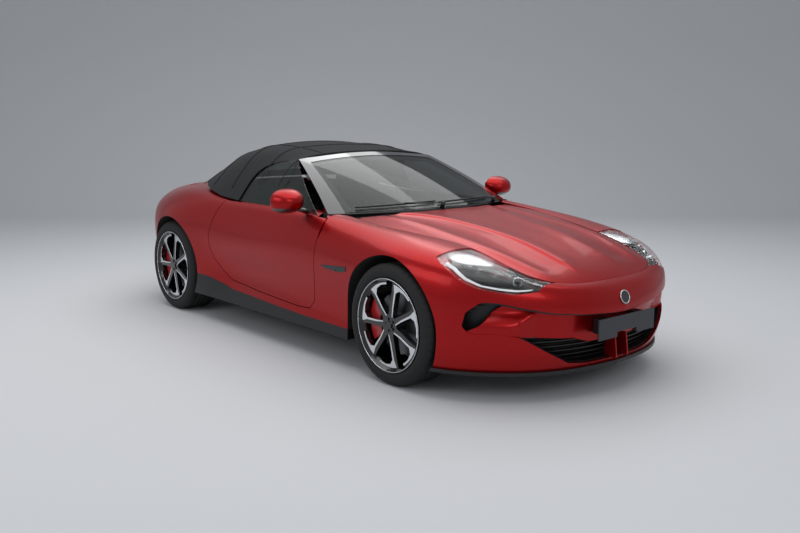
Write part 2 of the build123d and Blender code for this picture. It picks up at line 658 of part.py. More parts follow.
hem = [skin_section(abs(s), 2, 1 if s < 0 else -1)[-1]
       for s in [STATION[4] * 1.04 * (2 * i / 24 - 1) for i in range(25)]]
SPLITTER_OUT, SPLITTER_IN = 1.018, 0.86
with BuildPart() as front_splitter:
    with BuildSketch(Plane.XY.offset(156)):
        with BuildLine():
            outer = [(p.X * SPLITTER_OUT, FRONT_AXLE_Y + (p.Y - FRONT_AXLE_Y) * SPLITTER_OUT) for p in hem]
            inner = [(p.X * SPLITTER_IN, FRONT_AXLE_Y + (p.Y - FRONT_AXLE_Y) * SPLITTER_IN) for p in hem]
            Polyline(*outer, *reversed(inner), close=True)
        make_face()
    extrude(amount=HEM_Z - SEAM - 156)
    for arch in (FRONT_ARCH, FRONT_ARCH.mirror(Plane.YZ)):
        add(arch, mode=Mode.SUBTRACT)
save(front_splitter.part, "front_splitter")


# ---- bonnet, deck and boot lid ------------------------------------------------------------------
def plan_prism(points, low, high):
    with BuildPart() as prism:
        with BuildSketch(Plane.XY.offset(low)):
            with BuildLine():
                Polyline(*points, close=True)
            make_face()
        extrude(amount=high - low)
    return prism.part


BONNET_REAR = [(-652, -748), (-560, -806), (-400, -840), (-220, -873), (-80, -886)]
bonnet_plan = both_sides(
    [p for p in shut_line(0, STATION[7], SHUT_POINTS, PANEL_GAP)[1:] if p[1] < -755] + BONNET_REAR)
BONNET_HINGE = (580.0, -740.0, 852.0)
ARM_BACK = 96.0
BONNET_PIN_R, BOOT_PIN_R = 6.0, 5.0
with BuildPart() as bonnet:
    add(slab(
        cap_grid(bonnet_z, BONNET_FALL, 760, -2200, -640, 0, 21, 20, bonnet_rise),
        cap_grid(bonnet_z, BONNET_FALL, 760, -2200, -640, BONNET_SKIN)))
    add(plan_prism(bonnet_plan, 100, 1200), mode=Mode.INTERSECT)
    for side in (-1, 1):
        with BuildSketch(Plane.YZ.offset(side * BONNET_HINGE[0] - 10)):
            with Locations(BONNET_HINGE[1:]):
                Circle(15)
            with Locations((BONNET_HINGE[1] - ARM_BACK / 2, BONNET_HINGE[2])):
                Rectangle(ARM_BACK, 30)
            with Locations((BONNET_HINGE[1] - ARM_BACK + 12, BONNET_HINGE[2] + 14)):
                Rectangle(24, 28)
        extrude(amount=20)
        with BuildSketch(Plane.YZ.offset(side * BONNET_HINGE[0] - 26)):
            with Locations(BONNET_HINGE[1:]):
                Circle(BONNET_PIN_R)
        extrude(amount=52)
save(bonnet.part, "bonnet")

TAIL_END = STATION[-1]
tail_skin = tail_grid(STATION[11], 2 * TAIL_END - STATION[11], 41, 14)
BOOT_FRONT_Y = 1475.0
BOOT_MARGIN = 45.0
BOOT_FRONT_GAP = 14.0
boot_half = [p for p in shut_line(STATION[10], STATION[15], 22, BOOT_MARGIN)
             if p[1] > BOOT_FRONT_Y + 5 and p[0] < -50]
boot_half = [(boot_half[0][0] - 4, BOOT_FRONT_Y)] + boot_half


def deck_field(inwards):
    """Plan of the field that the deck and the boot lid fill, its edge moved inwards."""
    return both_sides([(-690, 1080)] + [p for p in deck_line(inwards) if p[1] > 1090])


with BuildPart() as rear_deck:
    add(slab(cap_grid(deck_z, DECK_FALL, 760, 1000, 2170), cap_grid(deck_z, DECK_FALL, 760, 1000, 2170, 20)))
    add(plan_prism(deck_field(SEAM), 100, 1200), mode=Mode.INTERSECT)
    with BuildSketch(Plane.XY):
        with BuildLine():
            Polyline(*both_sides(boot_half), close=True)
        make_face()
        offset(amount=PANEL_GAP, kind=Kind.INTERSECTION)
        # the front gap is wider, as the lid's edge dips a little while it opens
        with Locations((0, BOOT_FRONT_Y)):
            Rectangle(-2 * boot_half[0][0], 2 * BOOT_FRONT_GAP)
    extrude(amount=FAR, mode=Mode.SUBTRACT)
save(rear_deck.part, "rear_deck")
BOOT_HINGE = (420.0, 1345.0, 940.0)
# Goose-neck of the boot lid's hinge in side view, from the pin to the lid.
GOOSE_NECK = [(0, 0), (30, -52), (66, -112), (136, -78), (152, -20), (152, 16)]
with BuildPart() as boot_lid:
    add(slab(cap_grid(deck_z, DECK_FALL, 760, 1400, 2170), cap_grid(deck_z, DECK_FALL, 760, 1400, 2170, 22)))
    add(plan_prism(both_sides(boot_half), 100, 1200), mode=Mode.INTERSECT)
    for side in (-1, 1):
        with BuildSketch(Plane.YZ.offset(side * BOOT_HINGE[0] - 10)):
            with Locations(BOOT_HINGE[1:]):
                Circle(12)
            with BuildLine():
                Polyline(*[(BOOT_HINGE[1] + y, BOOT_HINGE[2] + z) for y, z in GOOSE_NECK])
            trace(line_width=18)
        extrude(amount=20)
        with BuildSketch(Plane.YZ.offset(side * BOOT_HINGE[0] - 26)):
            with Locations(BOOT_HINGE[1:]):
                Circle(BOOT_PIN_R)
        extrude(amount=52)
save(boot_lid.part, "boot_lid")

# ---- tail ---------------------------------------------------------------------------------------
LIGHT_BAR = [(0, 834), (-560, 834), (-740, 800), (-700, 786), (-540, 802), (0, 802)]
DIFFUSER = [(0, 366), (-560, 366), (-700, 300), (-720, 150), (0, 150)]
with BuildPart() as rear_bumper:
    add(slab(tail_skin, sink(tail_skin, SKIN)))
    add(side_outline([(1600, 150), (1640, 350)] + [(y + SEAM, z - SEAM) for y, z in TAIL_LINE[1:]]
                     + [(2400, 1099), (2400, 150)], -FAR, FAR), mode=Mode.INTERSECT)
    for arch in (REAR_ARCH, REAR_ARCH.mirror(Plane.YZ)):
        add(arch, mode=Mode.SUBTRACT)
    add(plan_prism(deck_field(0), 860, 1200), mode=Mode.SUBTRACT)
    add(front_prism(LIGHT_BAR, 0, 1990, 2400), mode=Mode.SUBTRACT)
    add(front_prism(DIFFUSER, 0, 1950, 2400), mode=Mode.SUBTRACT)
save(rear_bumper.part, "rear_bumper")
with BuildPart() as tail_lamp:
    add(slab(sink(tail_skin, 1), sink(tail_skin, 40)))
    add(front_prism(LIGHT_BAR, 0.5, 1992, 2400), mode=Mode.INTERSECT)
save(tail_lamp.part, "tail_lamp")
with BuildPart() as rear_diffuser:
    add(slab(sink(tail_skin, 4), sink(tail_skin, 110)))
    add(front_prism(DIFFUSER, 0.5, 1952, 2400), mode=Mode.INTERSECT)
    with BuildSketch(Plane.XZ.offset(-2300)):
        with Locations(*[(x, 262) for x in (-375, -125, 125, 375)]):
            Rectangle(210, 120)
    extrude(amount=140, mode=Mode.SUBTRACT)
save(rear_diffuser.part, "rear_diffuser")


# ---- glass and roof -----------------------------------------------------------------------------
def screen_point(across, up):
    """Point of the windscreen: across runs -1 to 1 over its width, up 0 to 1 from foot to header."""
    foot, head = SCREEN_FOOT, SCREEN_HEAD
    side = across * across
    half = foot["half"] + (head["half"] - foot["half"]) * up
    y0, z0 = foot["y"] + foot["dy"] * abs(across) ** 2.2, foot["z"] + foot["dz"] * side
    y1, z1 = head["y"] + head["dy"] * side, head["z"] + head["dz"] * side
    bow = SCREEN_BOW * 4 * up * (1 - up)
    return Vector(across * half, y0 + (y1 - y0) * up - bow * 0.4, z0 + (z1 - z0) * up + bow * 0.9)


def screen_grid(share, low, high, across=15, upward=7):
    rows = [[screen_point(share * (2 * j / (across - 1) - 1), low + (high - low) * i / (upward - 1))
             for j in range(across)] for i in range(upward)]
    return rows


def into(grid, depth):
    """Sink a windscreen grid towards the cabin."""
    return sink(grid, -depth)


with BuildPart() as windscreen_frame:
    whole = screen_grid(1.0, -0.05, 1.07)
    add(slab(into(whole, 0), into(whole, FRAME_T)))
    pane = screen_grid(PILLAR_SHARE, -0.2, HEADER_SHARE)
    add(slab(into(pane, -12), into(pane, FRAME_T + 12)), mode=Mode.SUBTRACT)
    add(side_outline([(-900, 912), (9, 912), (9, 1400), (-900, 1400)], -FAR, FAR), mode=Mode.INTERSECT)
save(windscreen_frame.part, "windscreen_frame")
with BuildPart() as windscreen:
    pane = screen_grid(PILLAR_SHARE - 0.001, 0.01, HEADER_SHARE - 0.0008)
    add(slab(into(pane, 2), into(pane, 2 + GLASS)))
save(windscreen.part, "windscreen")

side_x = smooth([z for z, x in SIDE_LINE], [x for z, x in SIDE_LINE])
GLASS_OUTLINE = [(-545, 890), (-4, 1196), (60, 1206), (160, 1202), (270, 1184), (350, 1156), (400, 1120),
                 (428, 1060), (456, 890)]
glass_grid = [[Vector(-side_x(880 + 340 * j / 8), -620 + 1100 * i / 7, 880 + 340 * j / 8)
               for j in range(9)] for i in range(8)]
with BuildPart() as door_glass_right:
    add(slab(glass_grid, [[p + Vector(GLASS * 0.8, 0, -GLASS * 0.6) for p in row] for row in glass_grid]))
    add(side_outline(GLASS_OUTLINE, 300, FAR), mode=Mode.INTERSECT)
    add(door_top, mode=Mode.SUBTRACT)
save(door_glass_right.part, "door_glass_right")
save(mirrored(door_glass_right.part, "door_glass_left"), "door_glass_left")

ROOF_Y = [row[0] for row in ROOF_ROWS]
roof_lines = [[smooth(ROOF_Y, [row[1 + k][axis] for row in ROOF_ROWS]) for axis in (0, 1)] for k in range(5)]


def roof_section(y, count):
    """Points across the fabric roof at one y, from the right-hand hem over the ridge to the left."""
    knots = [(-half(y), high(y)) for half, high in reversed(roof_lines)]
    knots += [(-x, z) for x, z in reversed(knots[:-1])]
    run = [0.0]
    for here, there in zip(knots, knots[1:]):
        run.append(run[-1] + math.dist(here, there))
    fx, fz = smooth(run, [k[0] for k in knots]), smooth(run, [k[1] for k in knots])
    return [Vector(fx(run[-1] * i / (count - 1)), y, fz(run[-1] * i / (count - 1))) for i in range(count)]


roof_grid = [roof_section(-30 + 1450 * i / 17, 25) for i in range(18)]
REAR_WINDOW = [(0, 1230), (-330, 1220), (-370, 1120), (-330, 1075), (0, 1070)]
with BuildPart() as soft_top:
    add(slab(sink(roof_grid, -0.0), sink(roof_grid, -ROOF_T)))
    add(side_outline([(9 + SEAM, 1400), (9 + SEAM, 1100), (300, 924), (460, 924), (700, 940), (1100, 1000),
                      (1180, 1014), (1500, 1014), (1500, 1400)], -FAR, FAR), mode=Mode.INTERSECT)
    add(outline_prism(grown(GLASS_OUTLINE + [(452, 800), (-545, 800)], 6), -FAR, FAR), mode=Mode.SUBTRACT)
    add(front_prism(REAR_WINDOW, 0, 900, 1500), mode=Mode.SUBTRACT)
save(soft_top.part, "soft_top")
with BuildPart() as rear_window:
    add(slab(sink(roof_grid, -6), sink(roof_grid, -6 - GLASS)))
    add(front_prism(REAR_WINDOW, 0.5, 900, 1500), mode=Mode.INTERSECT)
save(rear_window.part, "rear_window")
# ---- mirrors ------------------------------------------------------------------------------------
MIRROR_X = 968.0
with BuildPart() as mirror_right:
    for y, wide, high, z in ((-508, 66, 42, 992), (-492, 112, 74, 994), (-462, 156, 102, 996),
                             (-415, 184, 122, 998), (-345, 196, 128, 998)):
        with BuildSketch(Plane.XZ.offset(-y)):
            with Locations((-MIRROR_X, z)):
                RectangleRounded(wide, high, high * 0.42)
    loft(ruled=True)
    with BuildSketch(Plane.XY.offset(885)):
        with Locations((-846, -430)):
            RectangleRounded(34, 96, 15)
    with BuildSketch(Plane(origin=(-905, -425, 975))):
        RectangleRounded(60, 60, 15)
    loft()
    add(door_top, mode=Mode.SUBTRACT)
save(mirror_right.part, "mirror_right")
save(mirrored(mirror_right.part, "mirror_left"), "mirror_left")

# ---- cabin tub ----------------------------------------------------------------------------------
FLOOR_Z = 255.0
FLOOR_T = 20.0
BAY_X = 490.0
REAR_BAY_X = 610.0
BULKHEAD_Y = -820.0
SCUTTLE_Z = 830.0
REAR_WALL_Y = 640.0


def block(low, high):
    """Upright box between two opposite corners."""
    with BuildPart() as box:
        with BuildSketch(Plane.XY.offset(low[2])):
            with Locations(((low[0] + high[0]) / 2, (low[1] + high[1]) / 2)):
                Rectangle(high[0] - low[0], high[1] - low[1])
        extrude(amount=high[2] - low[2])
    return box.part


with BuildPart() as body_tub:
    add(block((-TUB_SIDE_X, -900, FLOOR_Z), (TUB_SIDE_X, 900, FLOOR_Z + FLOOR_T)))
    for side in (-1, 1):
        a, b = sorted((side * 640, side * TUB_SIDE_X))
        add(block((a, -900, 196), (b, 900, 400)))
        a, b = sorted((side * 700, side * TUB_SIDE_X))
        add(block((a, -636, 390), (b, -548, POST_TOP)))
        a, b = sorted((side * 740, side * BRACKET_X))
        add(block((a, -636, BRACKET_Z), (b, -556, POST_TOP)))
        a, b = sorted((side * 700, side * TUB_SIDE_X))
        add(block((a, 640, 390), (b, 760, POST_TOP)))
        a, b = sorted((side * 420, side * BAY_X))
        add(block((a, -2000, 200), (b, BULKHEAD_Y, 420)))
        a, b = sorted((side * (BAY_X - 14), side * BAY_X))
        add(block((a, -1900, 410), (b, BULKHEAD_Y, 690)))
        a, b = sorted((side * (REAR_BAY_X - 14), side * REAR_BAY_X))
        add(block((a, REAR_WALL_Y, 200), (b, 1490, 800)))
        a, b = sorted((side * 602, side * 624))
        add(block((a, BONNET_HINGE[1] - 24, 800), (b, BONNET_HINGE[1] + 24, BONNET_HINGE[2] + 10)))
        a, b = sorted((side * 442, side * 464))
        add(block((a, BOOT_HINGE[1] - 14, 700), (b, 1515, 720)))
        add(block((a, BOOT_HINGE[1] - 14, 700), (b, BOOT_HINGE[1] + 14, BOOT_HINGE[2] + 9)))
    add(block((-TUB_SIDE_X, BULKHEAD_Y - 20, FLOOR_Z), (TUB_SIDE_X, BULKHEAD_Y, SCUTTLE_Z)))
    add(block((-TUB_SIDE_X, BULKHEAD_Y, SCUTTLE_Z - 20), (TUB_SIDE_X, -620, SCUTTLE_Z)))
    add(block((-BAY_X, -2000, 200), (BAY_X, BULKHEAD_Y, 214)))
    add(block((-BAY_X, -2010, 200), (BAY_X, -1990, 480)))
    add(block((-TUB_SIDE_X, REAR_WALL_Y, FLOOR_Z), (TUB_SIDE_X, REAR_WALL_Y + 20, POST_TOP)))
    add(block((-REAR_BAY_X, REAR_WALL_Y, 200), (REAR_BAY_X, 1540, 214)))
    add(block((-430, 1530, 200), (430, 1900, 214)))
    add(block((-430, 1880, 200), (430, 1900, 700)))
    for x in (-430, 416):
        add(block((x, 1530, 200), (x + 14, 1900, 700)))
    add(block((-REAR_BAY_X + 10, 1470, 686), (REAR_BAY_X - 10, 1515, 720)))
    # bores for the door, bonnet and boot-lid pins
    for plane in (HINGE_PLANE, HINGE_PLANE_LEFT):
        add(hinge_drum(plane, 85, -100, BRACKET_START), mode=Mode.SUBTRACT)
        with BuildSketch(plane):
            Circle(PIN_R + CLEARANCE)
        extrude(amount=260, mode=Mode.SUBTRACT)
    for x, y, z, r in ((*BONNET_HINGE, BONNET_PIN_R), (*BOOT_HINGE, BOOT_PIN_R)):
        with BuildSketch(Plane.YZ.offset(-x - 60)):
            with Locations((y, z)):
                Circle(r + CLEARANCE)
        extrude(amount=2 * x + 120, mode=Mode.SUBTRACT)
save(body_tub.part, "body_tub")

with BuildPart() as power_units:
    add(block((-620, -760, 146), (620, 620, FLOOR_Z - SEAM)))
    for y in (FRONT_AXLE_Y, REAR_AXLE_Y):
        with BuildSketch(Plane.YZ.offset(-230)):
            with Locations((y, 214 + SEAM + 130)):
                RectangleRounded(300, 260, 60)
        extrude(amount=460)
save(power_units.part, "power_units")

# ---- suspension ---------------------------------------------------------------------------------
LOWER_Z, UPPER_Z = 186.0, 526.0
LUG_R = 22.0
ARM_T = 22.0


def wishbone(axle_y, inner_x, z, span):
    """Flat V-shaped arm of the right-hand side, from its two inner ends out to the ball joint."""
    with BuildPart() as arm:
        with BuildSketch(Plane.XY.offset(z)):
            with BuildLine():
                Polyline((-inner_x, axle_y - span - 22), (-inner_x, axle_y - span + 22),
                         (-STEER_X + 60, axle_y), (-inner_x, axle_y + span - 22),
                         (-inner_x, axle_y + span + 22), (-STEER_X, axle_y + LUG_R),
                         (-STEER_X, axle_y - LUG_R), close=True)
            make_face()
            with Locations((-STEER_X, axle_y)):
                Circle(LUG_R)
        extrude(amount=ARM_T)
    return arm.part


def upright(axle_y, top, low, face_x):
    """Knuckle of the right-hand side: hub carrier, lugs and brake caliper."""
    disc_face = face_x
    with BuildPart() as knuckle:
        with BuildSketch(Plane.YZ.offset(-STEER_X - 26)):
            with Locations((axle_y, (top + low) / 2)):
                Rectangle(56, top - low)
            with Locations((axle_y, TYRE_R)):
                Circle(58)
        extrude(amount=50)
        with BuildSketch(Plane.YZ.offset(-STEER_X - 26)):
            with Locations((axle_y, TYRE_R)):
                Circle(STUB_R + CLEARANCE)
        extrude(amount=50, mode=Mode.SUBTRACT)
        with BuildSketch(Plane.YZ.offset(-disc_face - 62)):
            with BuildLine():
                a0, a1 = math.radians(-32), math.radians(32)
                pts = [(axle_y + r * math.cos(a), TYRE_R + r * math.sin(a))
                       for r, a in ((128, a0), (206, a0), (216, a0 / 2), (218, 0), (216, a1 / 2), (206, a1),
                                    (128, a1), (136, 0))]
                Polyline(*pts, close=True)
            make_face()
        extrude(amount=90)
        with BuildSketch(Plane.YZ.offset(-disc_face - 37)):
            with Locations((axle_y, TYRE_R)):
                Circle(186)
        extrude(amount=44, mode=Mode.SUBTRACT)
        with BuildSketch(Plane.YZ.offset(-STEER_X - 20)):
            with Locations((axle_y + 90, TYRE_R)):
                Rectangle(110, 60)
        extrude(amount=24)
    return knuckle.part


front_face = WHEEL_FACE_X - FRONT_TYRE_W / 2
rear_face = WHEEL_FACE_X - REAR_TYRE_W / 2 + 15
knuckle_right = upright(FRONT_AXLE_Y, UPPER_Z, LOWER_Z, front_face)
save(knuckle_right, "knuckle_right")
save(mirrored(knuckle_right, "knuckle_left"), "knuckle_left")
with BuildPart() as front_suspension:
    for arm in (wishbone(FRONT_AXLE_Y, BAY_X + SEAM, LOWER_Z - ARM_T - CLEARANCE, 150),
                wishbone(FRONT_AXLE_Y, BAY_X + SEAM, UPPER_Z + CLEARANCE, 110)):
        add(arm)
    mirror(about=Plane.YZ)
save(front_suspension.part, "front_suspension")
with BuildPart() as rear_suspension:
    for arm in (wishbone(REAR_AXLE_Y, REAR_BAY_X + SEAM, LOWER_Z - ARM_T, 120),
                wishbone(REAR_AXLE_Y, REAR_BAY_X + SEAM, UPPER_Z, 90)):
        add(arm)
    add(upright(REAR_AXLE_Y, UPPER_Z, LOWER_Z, rear_face))
    mirror(about=Plane.YZ)
save(rear_suspension.part, "rear_suspension")

# ---- cabin --------------------------------------------------------------------------------------
SEAT_X = 370.0
with BuildPart() as seats:
    for side in (-1, 1):
        with BuildSketch(Plane.YZ.offset(side * SEAT_X - 250)):
            with BuildLine():
                Polyline((-90, FLOOR_Z + FLOOR_T + CLEARANCE), (-120, 430), (-90, 470), (300, 440), (360, 470),
                         (470, 800), (500, 960), (520, 1080), (570, 1090), (610, 1050), (600, 900),
                         (560, 640), (520, 400), (480, FLOOR_Z + FLOOR_T + CLEARANCE), close=True)
            make_face()
        extrude(amount=500)
save(seats.part, "seats")

COLUMN_TILT = 22.0
WHEEL_AT = (-SEAT_X, -225.0, 812.0)
tilt = math.radians(COLUMN_TILT)
column = Plane(origin=WHEEL_AT, x_dir=(1, 0, 0), z_dir=(0, math.cos(tilt), math.sin(tilt)))
with BuildPart() as dashboard:
    with BuildSketch(Plane.YZ.offset(-690)):
        with BuildLine():
            Polyline((-815, SCUTTLE_Z + SEAM), (-815, 885), (-700, 900), (-470, 895), (-400, 860),
                     (-380, 780), (-440, 640), (-560, 560), (-620, 560), (-620, SCUTTLE_Z + SEAM), close=True)
        make_face()
    extrude(amount=1380)
    foot_plan = [(x, SCREEN_FOOT["y"] + SCREEN_FOOT["dy"] * abs(x / SCREEN_FOOT["half"]) ** 2.2 + 80)
                 for x in range(-690, 691, 138)]
    add(plan_prism([(-695, -200)] + foot_plan + [(695, -200)], 500, 1000), mode=Mode.INTERSECT)
    with BuildSketch(Plane.XY.offset(FLOOR_Z + FLOOR_T + CLEARANCE)):
        with BuildLine():
            Polyline((-110, -600), (110, -600), (110, 590), (-110, 590), close=True)
        make_face()
    extrude(amount=240)
    with BuildSketch(Plane.XY.offset(500)):
        with Locations((0, -500)):
            Rectangle(220, 200)
    extrude(amount=120)
    with BuildSketch(column.offset(-260)):
        Circle(24 + CLEARANCE)
    extrude(amount=200, mode=Mode.SUBTRACT)
save(dashboard.part, "dashboard")

with BuildPart() as steering_wheel:
    with BuildSketch(Plane(origin=WHEEL_AT, x_dir=(0, -math.sin(tilt), math.cos(tilt)), z_dir=(1, 0, 0))):
        with Locations((170, 0)):
            RegularPolygon(15, 10)
    revolve(axis=Axis(WHEEL_AT, (0, math.cos(tilt), math.sin(tilt))))
    with BuildSketch(column.offset(-12)):
        Circle(56)
        Rectangle(330, 44)
        with Locations((0, -85)):
            Rectangle(50, 150)
    extrude(amount=24)
    with BuildSketch(column.offset(-170)):
        Circle(24)
    extrude(amount=165)
save(steering_wheel.part, "steering_wheel")
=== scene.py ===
import math
import bmesh
import bpy
from mathutils import Matrix, Vector


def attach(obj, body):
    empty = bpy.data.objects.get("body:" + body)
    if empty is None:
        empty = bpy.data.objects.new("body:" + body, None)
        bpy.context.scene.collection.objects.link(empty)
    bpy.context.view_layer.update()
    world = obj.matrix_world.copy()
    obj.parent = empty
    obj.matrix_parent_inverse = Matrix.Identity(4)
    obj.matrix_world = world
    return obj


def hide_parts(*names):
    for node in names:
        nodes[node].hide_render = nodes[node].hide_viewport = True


# A two-seat roadster with a closed fabric roof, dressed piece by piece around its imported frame.
# The nose points to -Y and the driver sits at -X. Lengths are in metres.

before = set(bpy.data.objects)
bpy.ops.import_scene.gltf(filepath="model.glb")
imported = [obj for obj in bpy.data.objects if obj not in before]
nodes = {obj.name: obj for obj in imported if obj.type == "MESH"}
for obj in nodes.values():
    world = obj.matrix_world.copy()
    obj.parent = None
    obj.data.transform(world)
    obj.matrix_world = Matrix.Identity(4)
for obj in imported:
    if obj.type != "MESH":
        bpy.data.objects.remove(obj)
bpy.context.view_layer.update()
scene = bpy.context.scene
scene.view_settings.view_transform = "Standard"
MM = 0.001

# ---- viewpoint ----------------------------------------------------------------------------------
# The eye of someone who stands off the right-hand front corner and looks slightly down, through a
# 39 mm lens.
EYE = Vector((-3.9525, -5.026, 1.4948))
EYE_YAW, EYE_PITCH = 0.8682, -0.1678
LENS, SENSOR = 39.10, 36.0
camera_data = bpy.data.cameras.new("viewpoint")
camera_data.lens = LENS
camera_data.sensor_width = SENSOR
camera = bpy.data.objects.new("viewpoint", camera_data)
gaze = Vector((math.cos(EYE_PITCH) * math.cos(EYE_YAW), math.cos(EYE_PITCH) * math.sin(EYE_YAW),
               math.sin(EYE_PITCH)))
camera.location = EYE
camera.rotation_euler = gaze.to_track_quat("-Z", "Y").to_euler()
scene.collection.objects.link(camera)
scene.camera = camera


# ---- finishes -----------------------------------------------------------------------------------
# Every finish below starts on one shader. Values that stay the same all over sit on its own sockets,
# and a fine relief is drawn from Object coordinates.
def hex_colour(code):
    """Linear colour of an sRGB hex value."""
    parts = [int(code[i:i + 2], 16) / 255 for i in (1, 3, 5)]
    return tuple(c / 12.92 if c <= 0.04045 else ((c + 0.055) / 1.055) ** 2.4 for c in parts) + (1.0,)


def add_node(material, kind, settings=None, values=None, links=None):
    """Add a node; settings are its properties, values its sockets, links from (node, output) to input."""
    node = material.node_tree.nodes.new(kind)
    for key, value in (settings or {}).items():
        setattr(node, key, value)
    for key, value in (values or {}).items():
        node.inputs[key].default_value = value
    for key, (source, output) in (links or {}).items():
        material.node_tree.links.new(source.outputs[output], node.inputs[key])
    return node


def into_shader(material, socket, node, output):
    """Let a node drive one socket of the material's shader."""
    shader = material.node_tree.nodes["Principled BSDF"]
    material.node_tree.links.new(node.outputs[output], shader.inputs[socket])


def finish(name, base, roughness, metallic, size, height, detail=2.0, stretch=(1, 1, 1), **sockets):
    """Material with a relief of about the given grain size and height in metres, or none for a size of 0."""
    material = bpy.data.materials.new(name)
    material.use_nodes = True
    shader = material.node_tree.nodes["Principled BSDF"]
    shader.inputs["Base Color"].default_value = hex_colour(base)
    for key, value in {"roughness": roughness, "metallic": metallic, **sockets}.items():
        shader.inputs[key.replace("_", " ").title().replace("Ior", "IOR")].default_value = value
    if size:
        place = add_node(material, "ShaderNodeTexCoord")
        turn = add_node(material, "ShaderNodeMapping", values={"Scale": stretch},
                        links={"Vector": (place, "Object")})
        noise = add_node(material, "ShaderNodeTexNoise", values={"Scale": 1 / size, "Detail": detail},
                         links={"Vector": (turn, "Vector")})
        bump = add_node(material, "ShaderNodeBump", values={"Strength": 1.0, "Distance": height},
                        links={"Height": (noise, "Fac")})
        into_shader(material, "Normal", bump, "Normal")
    return material


def mottle(material, place, scale, detail, dark, light):
    """Vary the base colour between two hex colours by a noise."""
    noise = add_node(material, "ShaderNodeTexNoise", values={"Scale": scale, "Detail": detail},
                     links={"Vector": (place, "Object")})
    ramp = add_node(material, "ShaderNodeValToRGB", links={"Fac": (noise, "Fac")})
    for stop, code, at in zip(ramp.color_ramp.elements, (dark, light), (0.35, 0.65)):
        stop.color, stop.position = hex_colour(code), at
    into_shader(material, "Base Color", ramp, "Color")


# ---- studio ---------------------------------------------------------------------------------------
# A matt pale floor that curves up into a wall, under one large diffuse panel in the ceiling and three
# smaller ones at the nose, the near side and the far side.
FLOOR_HALF, FLOOR_NEAR, FLOOR_FAR, COVE_R, WALL_H = 14.0, -10.0, 7.0, 3.0, 9.0


def new_verts(result):
    """The vertices that an extrusion made."""
    return [g for g in result["geom"] if isinstance(g, bmesh.types.BMVert)]


studio_paint = finish("matt_studio_paint", "#C4C6C9", 0.85, 0, 0.012, 0.0006)
bm = bmesh.new()
turns = [math.pi / 2 * k / 12 for k in range(1, 13)]
cove = [(FLOOR_FAR + COVE_R * math.sin(turn), COVE_R * (1 - math.cos(turn))) for turn in turns]
profile = [bm.verts.new((-FLOOR_HALF, y, z))
           for y, z in [(FLOOR_NEAR, 0), (FLOOR_FAR, 0)] + cove + [(FLOOR_FAR + COVE_R, WALL_H)]]
swept = bmesh.ops.extrude_edge_only(bm, edges=[bm.edges.new(pair) for pair in zip(profile, profile[1:])])
bmesh.ops.translate(bm, verts=new_verts(swept), vec=(2 * FLOOR_HALF, 0, 0))
bmesh.ops.recalc_face_normals(bm, faces=bm.faces)
if sum(f.normal.z for f in bm.faces) < 0:
    bmesh.ops.reverse_faces(bm, faces=bm.faces)
bmesh.ops.rotate(bm, verts=bm.verts, cent=(0, 0, 0), matrix=Matrix.Rotation(EYE_YAW - math.pi / 2, 3, "Z"))
mesh = bpy.data.meshes.new("studio_floor")
bm.to_mesh(mesh)
bm.free()
mesh.materials.append(studio_paint)
for polygon in mesh.polygons:
    polygon.use_smooth = True
studio_floor = bpy.data.objects.new("studio_floor", mesh)
scene.collection.objects.link(studio_floor)

for name, at, toward, wide, long, watts in (
    ("ceiling_panel", (0.0, 0.4, 5.2), (0, 0, 0), 7.0, 8.0, 260),
    ("nose_panel", (-2.2, -6.8, 3.6), (0, -1.2, 0.5), 4.0, 2.2, 60),
    ("side_panel", (-6.6, 0.4, 3.2), (0, 0.3, 0.6), 5.0, 2.4, 70),
    ("far_panel", (5.0, 3.0, 6.0), (0, 0, 0.7), 4.5, 2.6, 60),
):
    lamp_data = bpy.data.lights.new(name, "AREA")
    lamp_data.shape = "RECTANGLE"
    lamp_data.size, lamp_data.size_y, lamp_data.energy = wide, long, watts
    lamp = bpy.data.objects.new(name, lamp_data)
    lamp.location = at
    lamp.rotation_euler = (Vector(toward) - Vector(at)).to_track_quat("-Z", "Y").to_euler()
    scene.collection.objects.link(lamp)
world = bpy.data.worlds.new("studio_air")
world.use_nodes = True
world.node_tree.nodes["Background"].inputs["Color"].default_value = hex_colour("#DDE0E4")
world.node_tree.nodes["Background"].inputs["Strength"].default_value = 0.58
scene.world = world


# ---- body skin ------------------------------------------------------------------------------------
# Pressed aluminium and steel panels in a metallic lacquer: a red colour coat with fine aluminium
# flake under a thick clear coat. Each panel is pressed to one continuous skin, trimmed at its shut
# lines, with its edges folded round about 2 mm.
red_lacquer = finish("metallic_red_lacquer", "#A00308", 0.33, 0.78, 0, 0, coat_weight=0.2,
                     coat_roughness=0.06, coat_ior=1.5)
flake_place = add_node(red_lacquer, "ShaderNodeTexCoord")
# flake is about 0.05 mm across: drawn at 0.9 mm so that it shows
flake = add_node(red_lacquer, "ShaderNodeTexVoronoi", values={"Scale": 1100.0},
                 links={"Vector": (flake_place, "Object")})
flake_tilt = add_node(red_lacquer, "ShaderNodeBump", values={"Strength": 0.10, "Distance": 0.0004},
                      links={"Height": (flake, "Color")})
into_shader(red_lacquer, "Normal", flake_tilt, "Normal")
mottle(red_lacquer, flake_place, 700.0, 1.0, "#980206", "#AC040A")
wheel_well_felt = finish("wheel_well_felt", "#141416", 0.95, 0, 0.003, 0.0008)

